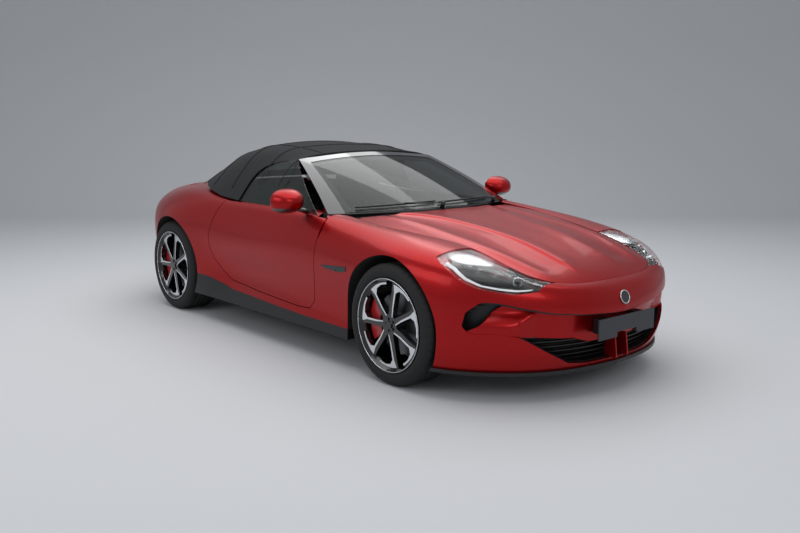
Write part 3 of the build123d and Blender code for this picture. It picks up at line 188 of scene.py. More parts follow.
# Section rows from nose to tail, as on the frame: pole y, turn, then (reach, height) of seven lines.
FRONT_AXLE, REAR_AXLE = -1345, 1345
SKIN_ROWS = [
    (FRONT_AXLE, 0, (825, 626), (862, 610), (898, 575), (922.5, 500), (915, 400), (900, 270), (872, 174)),
    (FRONT_AXLE, 20, (866, 630), (899, 618), (930, 580), (945, 500), (938, 400), (925, 270), (892, 174)),
    (FRONT_AXLE, 35, (870, 668), (918, 654), (964, 605), (980, 510), (972, 400), (955, 270), (922, 174)),
    (FRONT_AXLE, 50, (722, 747), (862, 738), (962, 662), (990, 530), (985, 400), (970, 270), (940, 174)),
    (FRONT_AXLE, 68, (612, 800), (806, 786), (930, 722), (972, 600), (975, 420), (970, 270), (950, 174)),
    (FRONT_AXLE, 90, (616, 830), (770, 834), (905, 765), (945, 630), (930, 450), (925, 270), (930, 174)),
    (-1000, 90, (696, 866), (775, 872), (885, 795), (930, 650), (905, 450), (905, 270), (930, 174)),
    (-600, 90, (700, 905), (805, 902), (880, 820), (912, 660), (890, 450), (895, 280), (930, 174)),
    (0, 90, (780, 914), (830, 905), (880, 820), (900, 620), (870, 450), (890, 280), (935, 174)),
    (600, 90, (780, 925), (845, 910), (895, 820), (905, 580), (880, 450), (895, 280), (935, 174)),
    (1000, 90, (735, 960), (850, 925), (925, 820), (940, 620), (935, 450), (935, 300), (940, 174)),
    (REAR_AXLE, 90, (660, 965), (820, 930), (935, 810), (956.5, 620), (945, 450), (940, 300), (935, 174)),
    (REAR_AXLE, 115, (640, 950), (800, 908), (930, 800), (962, 640), (950, 450), (930, 320), (900, 200)),
    (REAR_AXLE, 135, (700, 938), (848, 898), (948, 795), (962, 660), (950, 480), (930, 340), (890, 220)),
    (REAR_AXLE, 155, (760, 938), (868, 905), (930, 810), (932, 680), (920, 500), (900, 350), (860, 230)),
    (REAR_AXLE, 180, (800, 942), (880, 908), (915, 820), (922.5, 700), (905, 500), (880, 360), (840, 240)),
]
LINES, WAIST = 7, 3


def smooth(stations, values):
    """Return a function through the values: a natural cubic curve over the stations."""
    last = len(stations) - 1
    lower, middle, right = [0.0] * (last + 1), [1.0] * (last + 1), [0.0] * (last + 1)
    bend = [0.0] * (last + 1)
    for i in range(1, last):
        before, after = stations[i] - stations[i - 1], stations[i + 1] - stations[i]
        lower[i], middle[i], right[i] = before, 2 * (before + after), after
        bend[i] = 6 * ((values[i + 1] - values[i]) / after - (values[i] - values[i - 1]) / before)
    for i in range(1, last + 1):
        share = lower[i] / middle[i - 1]
        middle[i] -= share * right[i - 1]
        bend[i] -= share * bend[i - 1]
    bend[last] /= middle[last]
    for i in range(last - 1, -1, -1):
        bend[i] = (bend[i] - right[i] * bend[i + 1]) / middle[i]

    def curve(t):
        i = 0
        while i < last - 1 and t > stations[i + 1]:
            i += 1
        span = stations[i + 1] - stations[i]
        a, b = (stations[i + 1] - t) / span, (t - stations[i]) / span
        sag = ((a**3 - a) * bend[i] + (b**3 - b) * bend[i + 1]) * span * span / 6
        return a * values[i] + b * values[i + 1] + sag

    return curve


def skin_place(row, line):
    """Place of one line on one row of the skin, on the right-hand side, in millimetres."""
    turn = math.radians(row[1])
    reach, height = row[2 + line]
    return (-reach * math.sin(turn), row[0] - reach * math.cos(turn), height)


STATION = [0.0]
for ahead, behind in zip(SKIN_ROWS, SKIN_ROWS[1:]):
    STATION.append(STATION[-1] + math.dist(skin_place(ahead, WAIST)[:2], skin_place(behind, WAIST)[:2]))
LONG_LINES = [
    [smooth(STATION, [skin_place(row, line)[axis] for row in SKIN_ROWS]) for axis in range(3)]
    for line in range(LINES)
]
TAIL_END = STATION[-1]


def skin_curve(station):
    """Return a function from 0 at the shut line to 1 at the hem, down the skin at one station."""
    side = 1 if station < 0 or station > TAIL_END else -1
    place = 2 * TAIL_END - station if station > TAIL_END else abs(station)
    knots = [Vector([curve(place) for curve in line]) for line in LONG_LINES]
    run = [0.0]
    for upper, under in zip(knots, knots[1:]):
        run.append(run[-1] + (under - upper).length)
    across = [smooth(run, [knot[axis] for knot in knots]) for axis in range(3)]

    def down(share):
        x, y, z = (f(run[-1] * share) for f in across)
        return Vector((-x if side > 0 else x, y, z)) * MM

    return down


def skin_net(first, last, columns, rows):
    """Net of faces along the skin between two stations, without thickness."""
    bm = bmesh.new()
    bmesh.ops.create_grid(bm, x_segments=columns, y_segments=rows, size=0.5)
    sections = {}
    for vertex in bm.verts:
        station = round(first + (last - first) * (vertex.co.x + 0.5), 4)
        if station not in sections:
            sections[station] = skin_curve(station)
        vertex.co = sections[station](0.5 - vertex.co.y)
    return bm


def skin_sheet(first, last, columns, rows=44, proud=1.5, deep=3.0):
    """Pressed sheet along the skin between two stations: proud of the frame, with its thickness."""
    return thicken(skin_net(first, last, columns, rows), proud, deep)


def thicken(bm, proud, deep):
    """Turn a sheet's faces outwards, lift it proud of its place and give it its thickness, in mm."""
    bm.normal_update()
    middle = sum((f.calc_center_median() for f in bm.faces), Vector()) / len(bm.faces)
    inside = Vector((0, max(-1.3, min(1.3, middle.y)), 0.45))
    votes = sum((f.calc_center_median() - inside).dot(f.normal) for f in bm.faces)
    if votes < 0:
        bmesh.ops.reverse_faces(bm, faces=bm.faces)
        bm.normal_update()
    for vertex in bm.verts:
        vertex.co += vertex.normal * proud * MM
    bm.normal_update()
    moved = new_verts(bmesh.ops.extrude_face_region(bm, geom=bm.faces[:], use_keep_orig=True))
    inward = {v: -v.normal.copy() for v in moved}
    for vertex in moved:
        vertex.co += inward[vertex] * deep * MM
    bmesh.ops.recalc_face_normals(bm, faces=bm.faces)
    return bm


# ---- wings, doors, quarter panels and sills -------------------------------------------------------
# The wing runs from the headlamp over the front wheel to the door, and the quarter panel from the door
# over the rear wheel to the tail. A door is one pressed outer skin, with a red strip of sill below it.
def prism(points, plane, near, far, corner=0.0):
    """Block with a flat outline in mm: side view (y, z), front view (x, z) or plan (x, y)."""
    bm = bmesh.new()
    place = {"side": lambda a, b, c: (c, a, b), "front": lambda a, b, c: (a, c, b),
             "plan": lambda a, b, c: (a, b, c)}[plane]
    flat = [bm.verts.new(Vector(place(a, b, near)) * MM) for a, b in points]
    face = bm.faces.new(flat)
    if corner:
        bmesh.ops.bevel(bm, geom=flat, offset=corner * MM, segments=5, profile=0.5, affect="VERTICES",
                        material=-1)
        face = bm.faces[:][0]
    pulled = bmesh.ops.extrude_face_region(bm, geom=[face], use_keep_orig=True)
    bmesh.ops.translate(bm, verts=new_verts(pulled), vec=Vector(place(0, 0, far - near)) * MM)
    bmesh.ops.recalc_face_normals(bm, faces=bm.faces)
    return bm


def drum(matrix, radius, deep, sides):
    """Round block about a matrix's Z axis, in metres."""
    bm = bmesh.new()
    bmesh.ops.create_cone(bm, cap_ends=True, segments=sides, radius1=radius, radius2=radius, depth=deep,
                          matrix=matrix)
    return bm


def facing_out(place, outward):
    """Matrix of a place whose Z axis looks outward."""
    return Matrix.Translation(place) @ outward.to_track_quat("Z", "Y").to_matrix().to_4x4()


def barrel(centre, radius, near_x, far_x):
    """Round block along X, for a wheel arch, in mm."""
    at = Matrix.Translation(Vector(((near_x + far_x) / 2, centre[0], centre[1])) * MM)
    return drum(at @ Matrix.Rotation(math.pi / 2, 4, "Y"), radius * MM, abs(far_x - near_x) * MM, 96)


def hinge_drum(radius, low, high):
    """Round block about the right-hand door's hinge axis, in mm along it."""
    along = Vector((math.sin(DOOR_TILT), 0, math.cos(DOOR_TILT)))
    return drum(facing_out((Vector(DOOR_HINGE) + along * (low + high) / 2) * MM, along), radius * MM,
                (high - low) * MM, 64)


def as_object(bm, name):
    """Object made of a bmesh, which is freed."""
    mesh = bpy.data.meshes.new(name)
    bm.to_mesh(mesh)
    bm.free()
    piece = bpy.data.objects.new(name, mesh)
    scene.collection.objects.link(piece)
    return piece


def settle(piece):
    """Make a piece's modifiers part of its mesh."""
    bpy.context.view_layer.update()
    solid = bpy.data.meshes.new_from_object(piece.evaluated_get(bpy.context.evaluated_depsgraph_get()))
    piece.modifiers.clear()
    old, piece.data = piece.data, solid
    bpy.data.meshes.remove(old)


def discard(piece):
    """Remove a helper object with its mesh."""
    spare = piece.data
    bpy.data.objects.remove(piece)
    bpy.data.meshes.remove(spare)


def cut(bm, name, keep=(), away=()):
    """Trim a block to the cutters in keep and take the cutters in away out of it."""
    piece = as_object(bm, name)
    tools = [(tool, "INTERSECT") for tool in keep] + [(tool, "DIFFERENCE") for tool in away]
    helpers = []
    for tool, how in tools:
        helper = as_object(tool, "cutter")
        trim = piece.modifiers.new("trim", "BOOLEAN")
        trim.object, trim.operation, trim.solver = helper, how, "EXACT"
        helpers.append(helper)
    settle(piece)
    for helper in helpers:
        discard(helper)
    return piece


def finish_piece(piece, material, body, replaced=(), edge=1.5, segments=2):
    """Round a piece's edges, smooth it, give it its material and let it ride on its body."""
    piece.data.materials.clear()
    piece.data.materials.append(material)
    for polygon in piece.data.polygons:
        polygon.use_smooth = True
    if edge:
        fold = piece.modifiers.new("folded_edge", "BEVEL")
        fold.width, fold.segments, fold.limit_method = edge * MM, segments, "ANGLE"
        fold.angle_limit, fold.harden_normals = math.radians(35), True
        settle(piece)
    piece.data.name = piece.name
    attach(piece, body)
    if replaced:
        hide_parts(*replaced)
    return piece


# Side-view lines that neighbouring panels share, (y, z) in mm, and the wheel arches.
ARCH_R, TYRE_R = 396, 351
FRONT_ARCH_AT, REAR_ARCH_AT = (FRONT_AXLE + 20, TYRE_R), (REAR_AXLE - 20, TYRE_R)
REACH = 1200
DOOR_OUTLINE = [
    (-636, 868), (-628, 780), (-606, 660), (-584, 500), (-564, 362), (-520, 312), (-395, 303),
    (-170, 311), (172, 325), (494, 349), (600, 400), (700, 480), (742, 560), (746, 620),
    (721, 696), (668, 798), (606, 897), (600, 960), (-578, 960), (-585, 908), (-622, 890),
]
TAIL_LINE = [(1640, 350), (1640, 560), (1900, 640), (1980, 700), (1980, 1100)]
LAMP_OUTLINE = [
    (-1637, 764), (-1650, 830), (-2000, 800), (-2115, 700), (-2126, 616), (-2105, 609), (-2056, 603),
    (-1995, 612), (-1911, 629), (-1833, 660), (-1746, 712),
]
DOOR_GAP = 6
# Room in the wing and the door about the door's leaning hinge axis, and below the roof's hem: outlines
# and radii in mm, spans in mm along the axis.
DOOR_HINGE, DOOR_TILT = (-840, -597, 849), math.radians(60)
WING_DRUM, DOOR_DRUM = (53, -100, 34), (64, 28, 200)
HEM_CLEAR, HEM_CLEAR_Y = [(-836, 970), (-836, 924), (-770, 808)], (405, 640)


def grown(points, gap):
    """Outline moved outwards by gap at every corner."""
    around = sum(a[0] * b[1] - b[0] * a[1] for a, b in zip(points, points[1:] + points[:1]))
    turn = 1 if around > 0 else -1
    moved = []
    for before, here, after in zip(points[-1:] + points[:-1], points, points[1:] + points[:1]):
        first = Vector((here[1] - before[1], before[0] - here[0])).normalized() * turn
        second = Vector((after[1] - here[1], here[0] - after[0])).normalized() * turn
        both = (first + second).normalized()
        moved.append(tuple(Vector(here) + both * gap / max(0.4, both.dot(first))))
    return moved


def right_side(outline, grow=0.0, inner=0):
    """Cutter over the right-hand side, from a side view's outline."""
    return prism(grown(outline, grow) if grow else outline, "side", -REACH, inner)


def side_pair(name, span, columns, outline, inner, material, body, slot, replaced=(), away=(), edge=2.0,
              **sheet):
    """Piece of the skin between two stations, trimmed in side view, and its left-hand twin."""
    right = cut(skin_sheet(*span, columns, **sheet), f"{name}_right",
                [right_side(outline, inner=inner)], away)
    finish_piece(right, material, body, replaced, edge)
    bm = bmesh.new()
    bm.from_mesh(right.data)
    bmesh.ops.scale(bm, vec=(-1, 1, 1), verts=bm.verts)
    bmesh.ops.reverse_faces(bm, faces=bm.faces)
    finish_piece(as_object(bm, f"{name}_left"), material, body.replace("right", "left"), edge=0)


WING_SIDE = [(-1900, 1000), (-1900, 660), (-1750, 692), (-1450, 700), (-1450, 400), (-1000, 400),
             (-1000, 252), (-500, 254), (-500, 1100)]
QUARTER_SIDE = [(560, 302), (780, 338), (960, 348), (1640, 348)] + TAIL_LINE + [(560, 1100)]
SILL_SIDE = [(-500, 254), (-90, 265), (470, 284), (560, 302), (560, 500), (-500, 500)]
side_pair("wing_skin", (STATION[2] * 0.7, STATION[8]), 150, WING_SIDE, -200, red_lacquer, "body",
          "red_paint",
          away=[right_side(DOOR_OUTLINE, DOOR_GAP - 1), barrel(FRONT_ARCH_AT, ARCH_R, -REACH, -300),
                right_side(LAMP_OUTLINE, 1), hinge_drum(*WING_DRUM)])
side_pair("door_skin", (STATION[6], STATION[10]), 90, DOOR_OUTLINE, -300, red_lacquer, "door_right",
          "red_paint", away=[hinge_drum(*DOOR_DRUM), prism(HEM_CLEAR, "front", *HEM_CLEAR_Y)])
side_pair("quarter_skin", (STATION[8], STATION[14]), 150, QUARTER_SIDE, -100, red_lacquer, "body",
          "red_paint",
          away=[right_side(DOOR_OUTLINE, DOOR_GAP - 1), barrel(REAR_ARCH_AT, ARCH_R, -REACH, -300)])
side_pair("sill_skin", (STATION[6] - 60, STATION[10]), 90, SILL_SIDE, -300, red_lacquer, "body", "red_paint",
          away=[right_side(DOOR_OUTLINE, DOOR_GAP - 1)], edge=1.5)

# ---- front bumper ---------------------------------------------------------------------------------
# One moulded cover round the nose, 12 mm deep at its folded edges, open at the mouth, the lamps and the
# wheel arches.
NOSE_LINE, HEM_Z, AHEAD = [(-1900, 1000), (-1900, 660), (-1750, 692), (-1450, 700)], 176, -2400
MOUTH = [(0, 460), (-94, 462), (-321, 480), (-502, 502), (-633, 532), (-732, 559), (-791, 561), (-836, 505),
         (-846, 425), (-822, 388), (-727, 392), (-640, 372), (-513, 290), (-372, 212), (-250, 196), (0, 196)]


def whole_front(half):
    """Whole front view from its right-hand half."""
    return half + [(-x, z) for x, z in reversed(half) if x < 0]


def both_arches(at):
    """Cutters for one axle's two wheel arches."""
    return [barrel(at, ARCH_R, side * REACH, side * 300) for side in (-1, 1)]


bumper_skin = cut(
    skin_sheet(-STATION[5], STATION[5], 230, rows=60, deep=12.0), "front_bumper_skin",
    keep=[prism([(y, z - 0.5) for y, z in NOSE_LINE] + [(-1450, HEM_Z), (AHEAD, HEM_Z), (AHEAD, 999)],
                "side", -REACH, REACH)],
    away=[prism(whole_front(MOUTH), "front", AHEAD, -1790, corner=14)] + both_arches(FRONT_ARCH_AT)
    + [right_side(LAMP_OUTLINE, 1, -20), prism(grown(LAMP_OUTLINE, 1), "side", 20, REACH)])
finish_piece(bumper_skin, red_lacquer, "body", edge=2.5)

# ---- bonnet ---------------------------------------------------------------------------------------
# A pressed aluminium panel with two pairs of long creases and hollows between them, over an inner panel
# with four openings. Two cranked arms carry it at its rear corners.
BONNET_LINE = [(-2300, 480), (-2170, 622), (-2000, 706), (-1700, 796), (-1345, 858), (-1000, 902),
               (-700, 925)]
BONNET_FALL, FALL_X, CAP_HALF = 28.0, 600.0, 740
BONNET_REAR = [(-652, -748), (-560, -806), (-400, -840), (-220, -873), (-80, -886)]
INNER_CREASE = [(-2300, 182), (-2100, 190), (-1790, 203), (-1450, 222), (-1150, 262), (-950, 335),
                (-780, 430), (-640, 480)]
OUTER_CREASE = [(-2300, 380), (-2100, 415), (-1700, 482), (-1345, 492), (-1000, 500), (-780, 556),
                (-640, 600)]
CREASE_HIGH, HOLLOW_DEEP, CREASE_WIDE, CREASE_ENDS, CREASE_FADE = 9.0, 6.0, 30.0, (-2110.0, -760.0), 130.0
bonnet_height, inner_crease, outer_crease = (
    smooth(*zip(*line)) for line in (BONNET_LINE, INNER_CREASE, OUTER_CREASE))


def bonnet_rise(x, y):
    """Height that the bonnet's raised lines and the hollows between them add at a place, in mm."""
    across, inner, outer = abs(x), inner_crease(y), outer_crease(y)
    nearest_end = min(y - CREASE_ENDS[0], CREASE_ENDS[1] - y)
    ends = min(1.0, max(0.0, nearest_end / CREASE_FADE))
    lee = 3 * CREASE_WIDE if across < inner else 0.55 * CREASE_WIDE
    ridge = CREASE_HIGH * math.exp(-((across - inner) / lee) ** 2)
    hollow = HOLLOW_DEEP * math.exp(-((across - (inner + outer) / 2) / (0.3 * (outer - inner))) ** 2)
    shoulder = 0.7 * CREASE_HIGH * math.exp(-((across - outer) / (1.4 * CREASE_WIDE)) ** 2)
    return ends * (ridge - hollow + shoulder)


def cap_sheet(centre_line, fall, half, first_y, last_y, columns, rows, rise=None, proud=1.5, deep=3.0):
    """Pressed sheet over a plan rectangle; its height falls away sideways from a centre line."""
    bm = bmesh.new()
    bmesh.ops.create_grid(bm, x_segments=columns, y_segments=rows, size=0.5)
    for vertex in bm.verts:
        x, y = vertex.co.x * 2 * half, first_y + (last_y - first_y) * (vertex.co.y + 0.5)
        z = centre_line(y) - fall * (x / FALL_X) ** 2 + (rise(x, y) if rise else 0.0)
        vertex.co = Vector((x, y, z)) * MM
    return thicken(bm, proud, deep)


def shut_line(first, last, gap):
    """Plan of the line where bonnet and deck meet the right-hand side, moved inwards by gap, in mm."""
    fx, fy = LONG_LINES[0][:2]
    plan = []
    for i in range(60):
        s = first + (last - first) * i / 59
        run = Vector((fx(s + 1) - fx(s - 1), fy(s + 1) - fy(s - 1))).normalized()
        plan.append((fx(s) + gap * run.y, fy(s) - gap * run.x))
    return [place for place in plan if place[0] < -3]


def both_sides(half):
    """Whole plan from its right-hand half."""
    return half + [(-x, y) for x, y in reversed(half)]


PANEL_GAP, BELOW, ABOVE = 5, 100, 1200
bonnet_plan = both_sides([p for p in shut_line(0, STATION[7], PANEL_GAP) if p[1] < -755] + BONNET_REAR)
BONNET_ENDS = (-2200, -640)
bonnet_skin = cut(
    cap_sheet(bonnet_height, BONNET_FALL, CAP_HALF, *BONNET_ENDS, 210, 130, rise=bonnet_rise), "bonnet_skin",
    keep=[prism(bonnet_plan, "plan", BELOW, ABOVE)])
finish_piece(bonnet_skin, red_lacquer, "bonnet", ["bonnet"], edge=2.0)
INNER_OPENINGS = [[(60, -1900), (300, -1780), (330, -1500), (60, -1500)],
                  [(60, -1430), (340, -1430), (400, -1050), (60, -1000)]]
bonnet_inner = cut(
    cap_sheet(bonnet_height, BONNET_FALL, CAP_HALF, *BONNET_ENDS, 40, 40, proud=-20, deep=4),
    "bonnet_inner_panel", keep=[prism(grown(bonnet_plan, -18), "plan", BELOW, ABOVE)],
    away=[prism([(side * x, y) for x, y in opening], "plan", BELOW, ABOVE, corner=40)
          for side in (-1, 1) for opening in INNER_OPENINGS])
finish_piece(bonnet_inner, red_lacquer, "bonnet", edge=1.0)


def slab(name, outline, plane, near, far, material, body, replaced=(), edge=1.5, segments=2,
         corner=0.0):
    """Finished piece with a flat outline."""
    piece = cut(prism(outline, plane, near, far, corner=corner), name)
    return finish_piece(piece, material, body, replaced, edge, segments)


BONNET_ARM = [(-740, 837), (-836, 837), (-836, 880), (-812, 880), (-812, 867), (-740, 867), (-729, 862),
              (-725, 852), (-729, 842)]
HANDS = ((-1, "right"), (1, "left"))
for side, hand in HANDS:
    slab(f"bonnet_hinge_{hand}", BONNET_ARM, "side", side * 570, side * 590, red_lacquer, "bonnet")

# ---- rear deck and boot lid -----------------------------------------------------------------------
# The deck is a pressed panel between the roof's hem, the quarter panels and the tail. The boot lid is cut
# out of the same form, inside one even gap.
DECK_LINE = [(900, 1012), (1150, 1012), (1345, 1004), (1600, 984), (1850, 960), (2000, 950), (2180, 944)]
DECK_FALL, BOOT_FRONT_Y, BOOT_MARGIN = 40.0, 1475, 45
deck_height = smooth(*zip(*DECK_LINE))
boot_half = [p for p in shut_line(STATION[10], TAIL_END, BOOT_MARGIN) if p[1] > BOOT_FRONT_Y + 5]
boot_half = [(boot_half[0][0] - 4, BOOT_FRONT_Y)] + [p for p in boot_half if p[0] < -50]
deck_half = [(-690, 1080)] + [p for p in shut_line(STATION[9] - 100, TAIL_END, 0.5) if p[1] > 1090]
front_gap = both_sides([(boot_half[0][0] - 3, 1461), (boot_half[0][0] - 3, 1490)])
deck_skin = cut(
    cap_sheet(deck_height, DECK_FALL, CAP_HALF, 1060, 2180, 90, 110), "rear_deck_skin",
    keep=[prism(both_sides(deck_half), "plan", BELOW, ABOVE)],
    away=[prism(grown(both_sides(boot_half), PANEL_GAP - 1), "plan", BELOW, ABOVE),
          prism(front_gap, "plan", BELOW, ABOVE)])
finish_piece(deck_skin, red_lacquer, "body", edge=2.0)
boot_skin = cut(
    cap_sheet(deck_height, DECK_FALL, CAP_HALF, 1400, 2180, 90, 80), "boot_lid_skin",
    keep=[prism(both_sides(boot_half), "plan", BELOW, ABOVE)])
finish_piece(boot_skin, red_lacquer, "boot_lid", edge=2.0)

# ---- rear bumper ----------------------------------------------------------------------------------
# The tail's moulded cover, open at the light bar, at the diffuser and at the wheel arches. Behind all
# these skins, the frame's own panels are painted too, with felt where the wheels run.
BEHIND = 2400
LIGHT_BAR = [(0, 834), (-560, 834), (-740, 800), (-700, 786), (-540, 802), (0, 802)]
DIFFUSER = [(0, 366), (-560, 366), (-700, 300), (-720, 150), (0, 150)]
tail_skin = cut(
    skin_sheet(STATION[11], 2 * TAIL_END - STATION[11], 230, rows=60, deep=12.0), "rear_bumper_skin",
    keep=[prism([(1600, 150), (1640, 350)] + [(y + 0.5, z - 0.5) for y, z in TAIL_LINE[1:]]
                + [(BEHIND, 1099), (BEHIND, 150)], "side", -REACH, REACH)],
    away=[prism(whole_front(LIGHT_BAR), "front", 1990, BEHIND),
          prism(whole_front(DIFFUSER), "front", 1950, BEHIND)] + both_arches(REAR_ARCH_AT))
finish_piece(tail_skin, red_lacquer, "body", edge=2.0)


def dress(names, *materials):
    """Give the frame's own solids their materials."""
    for name in names:
        nodes[name].data.materials.clear()
        for material in materials:
            nodes[name].data.materials.append(material)


PAINTED = ("front_bumper", "rear_bumper", "wing_left", "wing_right", "quarter_left", "quarter_right",
           "door_left", "door_right", "sills", "rear_deck", "boot_lid")
dress(PAINTED, red_lacquer, wheel_well_felt)
for name in PAINTED:
    for polygon in nodes[name].data.polygons:
        arch_y, arch_z = FRONT_ARCH_AT if polygon.center.y < 0 else REAR_ARCH_AT
        out = math.hypot(polygon.center.y - arch_y * MM, polygon.center.z - arch_z * MM)
        polygon.material_index = 1 if out < (ARCH_R + 3) * MM else 0


# ---- mouth ----------------------------------------------------------------------------------------
# A body-coloured panel sweeps back across the mouth over a black moulded grille. A plain plate holder,
# two upright fins and the round parking sensors are clipped to it.
def recess(place):
    """How far the mouth's panel lies behind the nose, in mm: nothing at the mouth's lower corners."""
    across, height = abs(place.x) / MM, place.z / MM
    up = min(1.0, max(0.0, (height - 425) / 90))
    inward = min(1.0, max(0.0, (690 - across) / 150))
    share = max(up, inward)
    return 1.0 + 54 * share * share * (3 - 2 * share)


MOUTH_PANEL = [(0, 505), (-94, 507), (-321, 525), (-502, 547), (-640, 575), (-662, 575), (-676, 540),
               (-752, 468), (-818, 410), (-862, 372), (-846, 352), (-727, 366), (-646, 374), (-521, 359),
               (-307, 336), (-202, 304), (0, 304)]
bm = skin_net(-STATION[4], STATION[4], 200, 70)
bmesh.ops.delete(bm, geom=[v for v in bm.verts if not 0.27 < v.co.z < 0.66], context="VERTS")
for vertex in bm.verts:
    away = (vertex.co - Vector((0, -1.3, vertex.co.z))).normalized()
    vertex.co -= away * recess(vertex.co) * MM
mouth_panel = cut(thicken(bm, 0, 3), "mouth_panel_skin",
                  keep=[prism(whole_front(MOUTH_PANEL), "front", AHEAD, -1700)])
finish_piece(mouth_panel, red_lacquer, "body", ["mouth_panel"], edge=1.0)

grille_plastic = finish("moulded_black_polypropylene", "#0C0C0E", 0.42, 0, 0.0012, 0.00008)
satin_plastic = finish("satin_grey_abs", "#2A2D33", 0.38, 0, 0.0015, 0.00006)
HOLDER = [(-252, 446), (252, 446), (252, 330), (88, 330), (88, 358), (-88, 358), (-88, 330), (-252, 330)]
HOLDER_FRONT, HOLDER_BACK, FOOT_X, FIN_X = -2289, -2279, 150, 50
FIN = [(-2262, 200), (-2262, 216), (-2248, 330), (-2180, 330), (-2180, 200)]


def oblong(x, half, low, high):
    """Front view of an upright rectangle about x."""
    return [(x - half, low), (x + half, low), (x + half, high), (x - half, high)]


slab("plate_holder", HOLDER, "front", HOLDER_FRONT, HOLDER_BACK, satin_plastic, "body",
     edge=2.5)
for side, hand in HANDS:
    slab(f"plate_holder_foot_{hand}", oblong(side * FOOT_X, 40, 350, 436), "front", HOLDER_BACK - 1, -2200,
         grille_plastic, "body", edge=2.0)
    slab(f"mouth_fin_{hand}", FIN, "side", side * FIN_X - 5, side * FIN_X + 5, red_lacquer, "body",
         edge=2.0)

SENSORS, SENSOR_R, SENSOR_SUNK, SENSOR_HIGH = ((-640, 452), (-250, 470), (250, 470), (640, 452)), 9.5, 2, 5
for k, (x, z) in enumerate(SENSORS):
    bm = bmesh.new()
    bmesh.ops.create_circle(bm, cap_ends=True, radius=SENSOR_R * MM, segments=24)
    raised = bmesh.ops.extrude_face_region(bm, geom=bm.faces[:], use_keep_orig=True)
    bmesh.ops.translate(bm, verts=new_verts(raised), vec=(0, 0, SENSOR_HIGH * MM))
    bmesh.ops.recalc_face_normals(bm, faces=bm.faces)
    outward = Vector((x * MM, -0.93, 0.0)).normalized()
    at = mouth_panel.ray_cast(Vector((x, AHEAD - 200, z)) * MM, Vector((0, 1, 0)))[1]
    bmesh.ops.transform(bm, verts=bm.verts, matrix=facing_out(at - outward * SENSOR_SUNK * MM, outward))
    finish_piece(as_object(bm, f"parking_sensor_{k + 1}"), red_lacquer, "body", edge=1.0)

# ---- headlamps ------------------------------------------------------------------------------------
# A clear polycarbonate cover over a black bowl with a bright metallised reflector along its top, two
# projector lenses and a thin light guide.
lamp_glass = finish("clear_polycarbonate_lens", "#F4F8F8", 0.02, 0, 0, 0, transmission_weight=1.0, ior=1.35,
                    alpha=0.28)
bright_metal = finish("metallised_reflector", "#D9DCDF", 0.12, 1, 0.01, 0.0004)
bezel_black = finish("gloss_black_bezel", "#08080A", 0.12, 0, 0.004, 0.00005)
light_guide = finish("acrylic_light_guide", "#F2F4F6", 0.15, 0, 0.002, 0.0001)


def lamp_sheet(name, outline, depth, deep, material, slot, replaced=()):
    """Sheet at some depth in the right-hand lamp, trimmed in side view, and its left-hand twin."""
    side_pair(name, (STATION[1] * 0.3, STATION[5]), 90, outline, -20, material, "body", slot, replaced,
              edge=1.0, rows=60, proud=-depth, deep=deep)


lamp_sheet("headlamp_cover", grown(LAMP_OUTLINE, -1.5), 1.5, 2.5, lamp_glass, "lamp_lens", ["headlamps"])
lamp_sheet("headlamp_bowl", grown(LAMP_OUTLINE, 3), 34, 6, bezel_black, "gloss_black")
REFLECTOR = [(-1640, 764), (-1652, 826), (-1990, 796), (-2040, 740), (-1960, 716), (-1850, 730), (-1745, 740)]
lamp_sheet("headlamp_reflector", REFLECTOR, 20, 4, bright_metal, "rim_metal")
GUIDE = [(-1700, 742), (-1760, 722), (-1840, 676), (-1915, 645), (-1996, 630), (-2056, 622), (-2095, 624),
         (-2095, 618), (-2056, 614), (-1996, 622), (-1914, 638), (-1836, 668), (-1756, 715), (-1698, 735)]
lamp_sheet("headlamp_light_guide", GUIDE, 12, 5, light_guide, "lamp_lens")
PROJECTORS = ((650, -1930, 668, 27), (600, -2010, 654, 24), (706, -1850, 690, 24))
for side, hand in HANDS:
    for k, (x, y, z, radius) in enumerate(PROJECTORS):
        turn = facing_out(Vector((side * x, y, z)) * MM, Vector((side * 0.45, -0.86, 0.22)).normalized())
        ring, lens = bmesh.new(), bmesh.new()
        bmesh.ops.create_cone(ring, cap_ends=False, segments=48, radius1=radius * MM * 0.8,
                              radius2=radius * MM, depth=34 * MM)
        bmesh.ops.solidify(ring, geom=ring.faces[:], thickness=3 * MM)
        bmesh.ops.create_uvsphere(lens, u_segments=32, v_segments=16, radius=radius * MM * 0.86)
        bmesh.ops.scale(lens, verts=lens.verts, vec=(1, 1, 0.55))
        for bm, part, material, slot, edge in ((ring, "ring", bright_metal, "rim_metal", 0.8),
                                               (lens, "lens", bezel_black, "lamp_lens", 0)):
            bmesh.ops.transform(bm, verts=bm.verts, matrix=turn)
            finish_piece(as_object(bm, f"projector_{part}_{hand}_{k + 1}"), material, "body", edge=edge)


# ---- scuttle, wipers, badge place and side vents --------------------------------------------------
# Black mouldings: the scuttle panel under the screen with its two parked wipers, a plain badge ring on
# the nose, and the vent strips behind the front wheels.
def tube(points, radius, sides):
    """Closed round tube through a run of places, in metres."""
    bm = bmesh.new()
    rings = []
    for i, place in enumerate(points):
        run = (points[min(i + 1, len(points) - 1)] - points[max(i - 1, 0)]).normalized()
        turn = run.to_track_quat("Z", "Y")
        rings.append([bm.verts.new(place + turn @ Vector(
            (radius * math.cos(2 * math.pi * k / sides), radius * math.sin(2 * math.pi * k / sides), 0)))
            for k in range(sides)])
    for ring, after in zip(rings, rings[1:]):
        for k in range(sides):
            bm.faces.new((ring[k], ring[(k + 1) % sides], after[(k + 1) % sides], after[k]))
    bm.faces.new(rings[0])
    bm.faces.new(rings[-1])
    bmesh.ops.recalc_face_normals(bm, faces=bm.faces)
    return bm


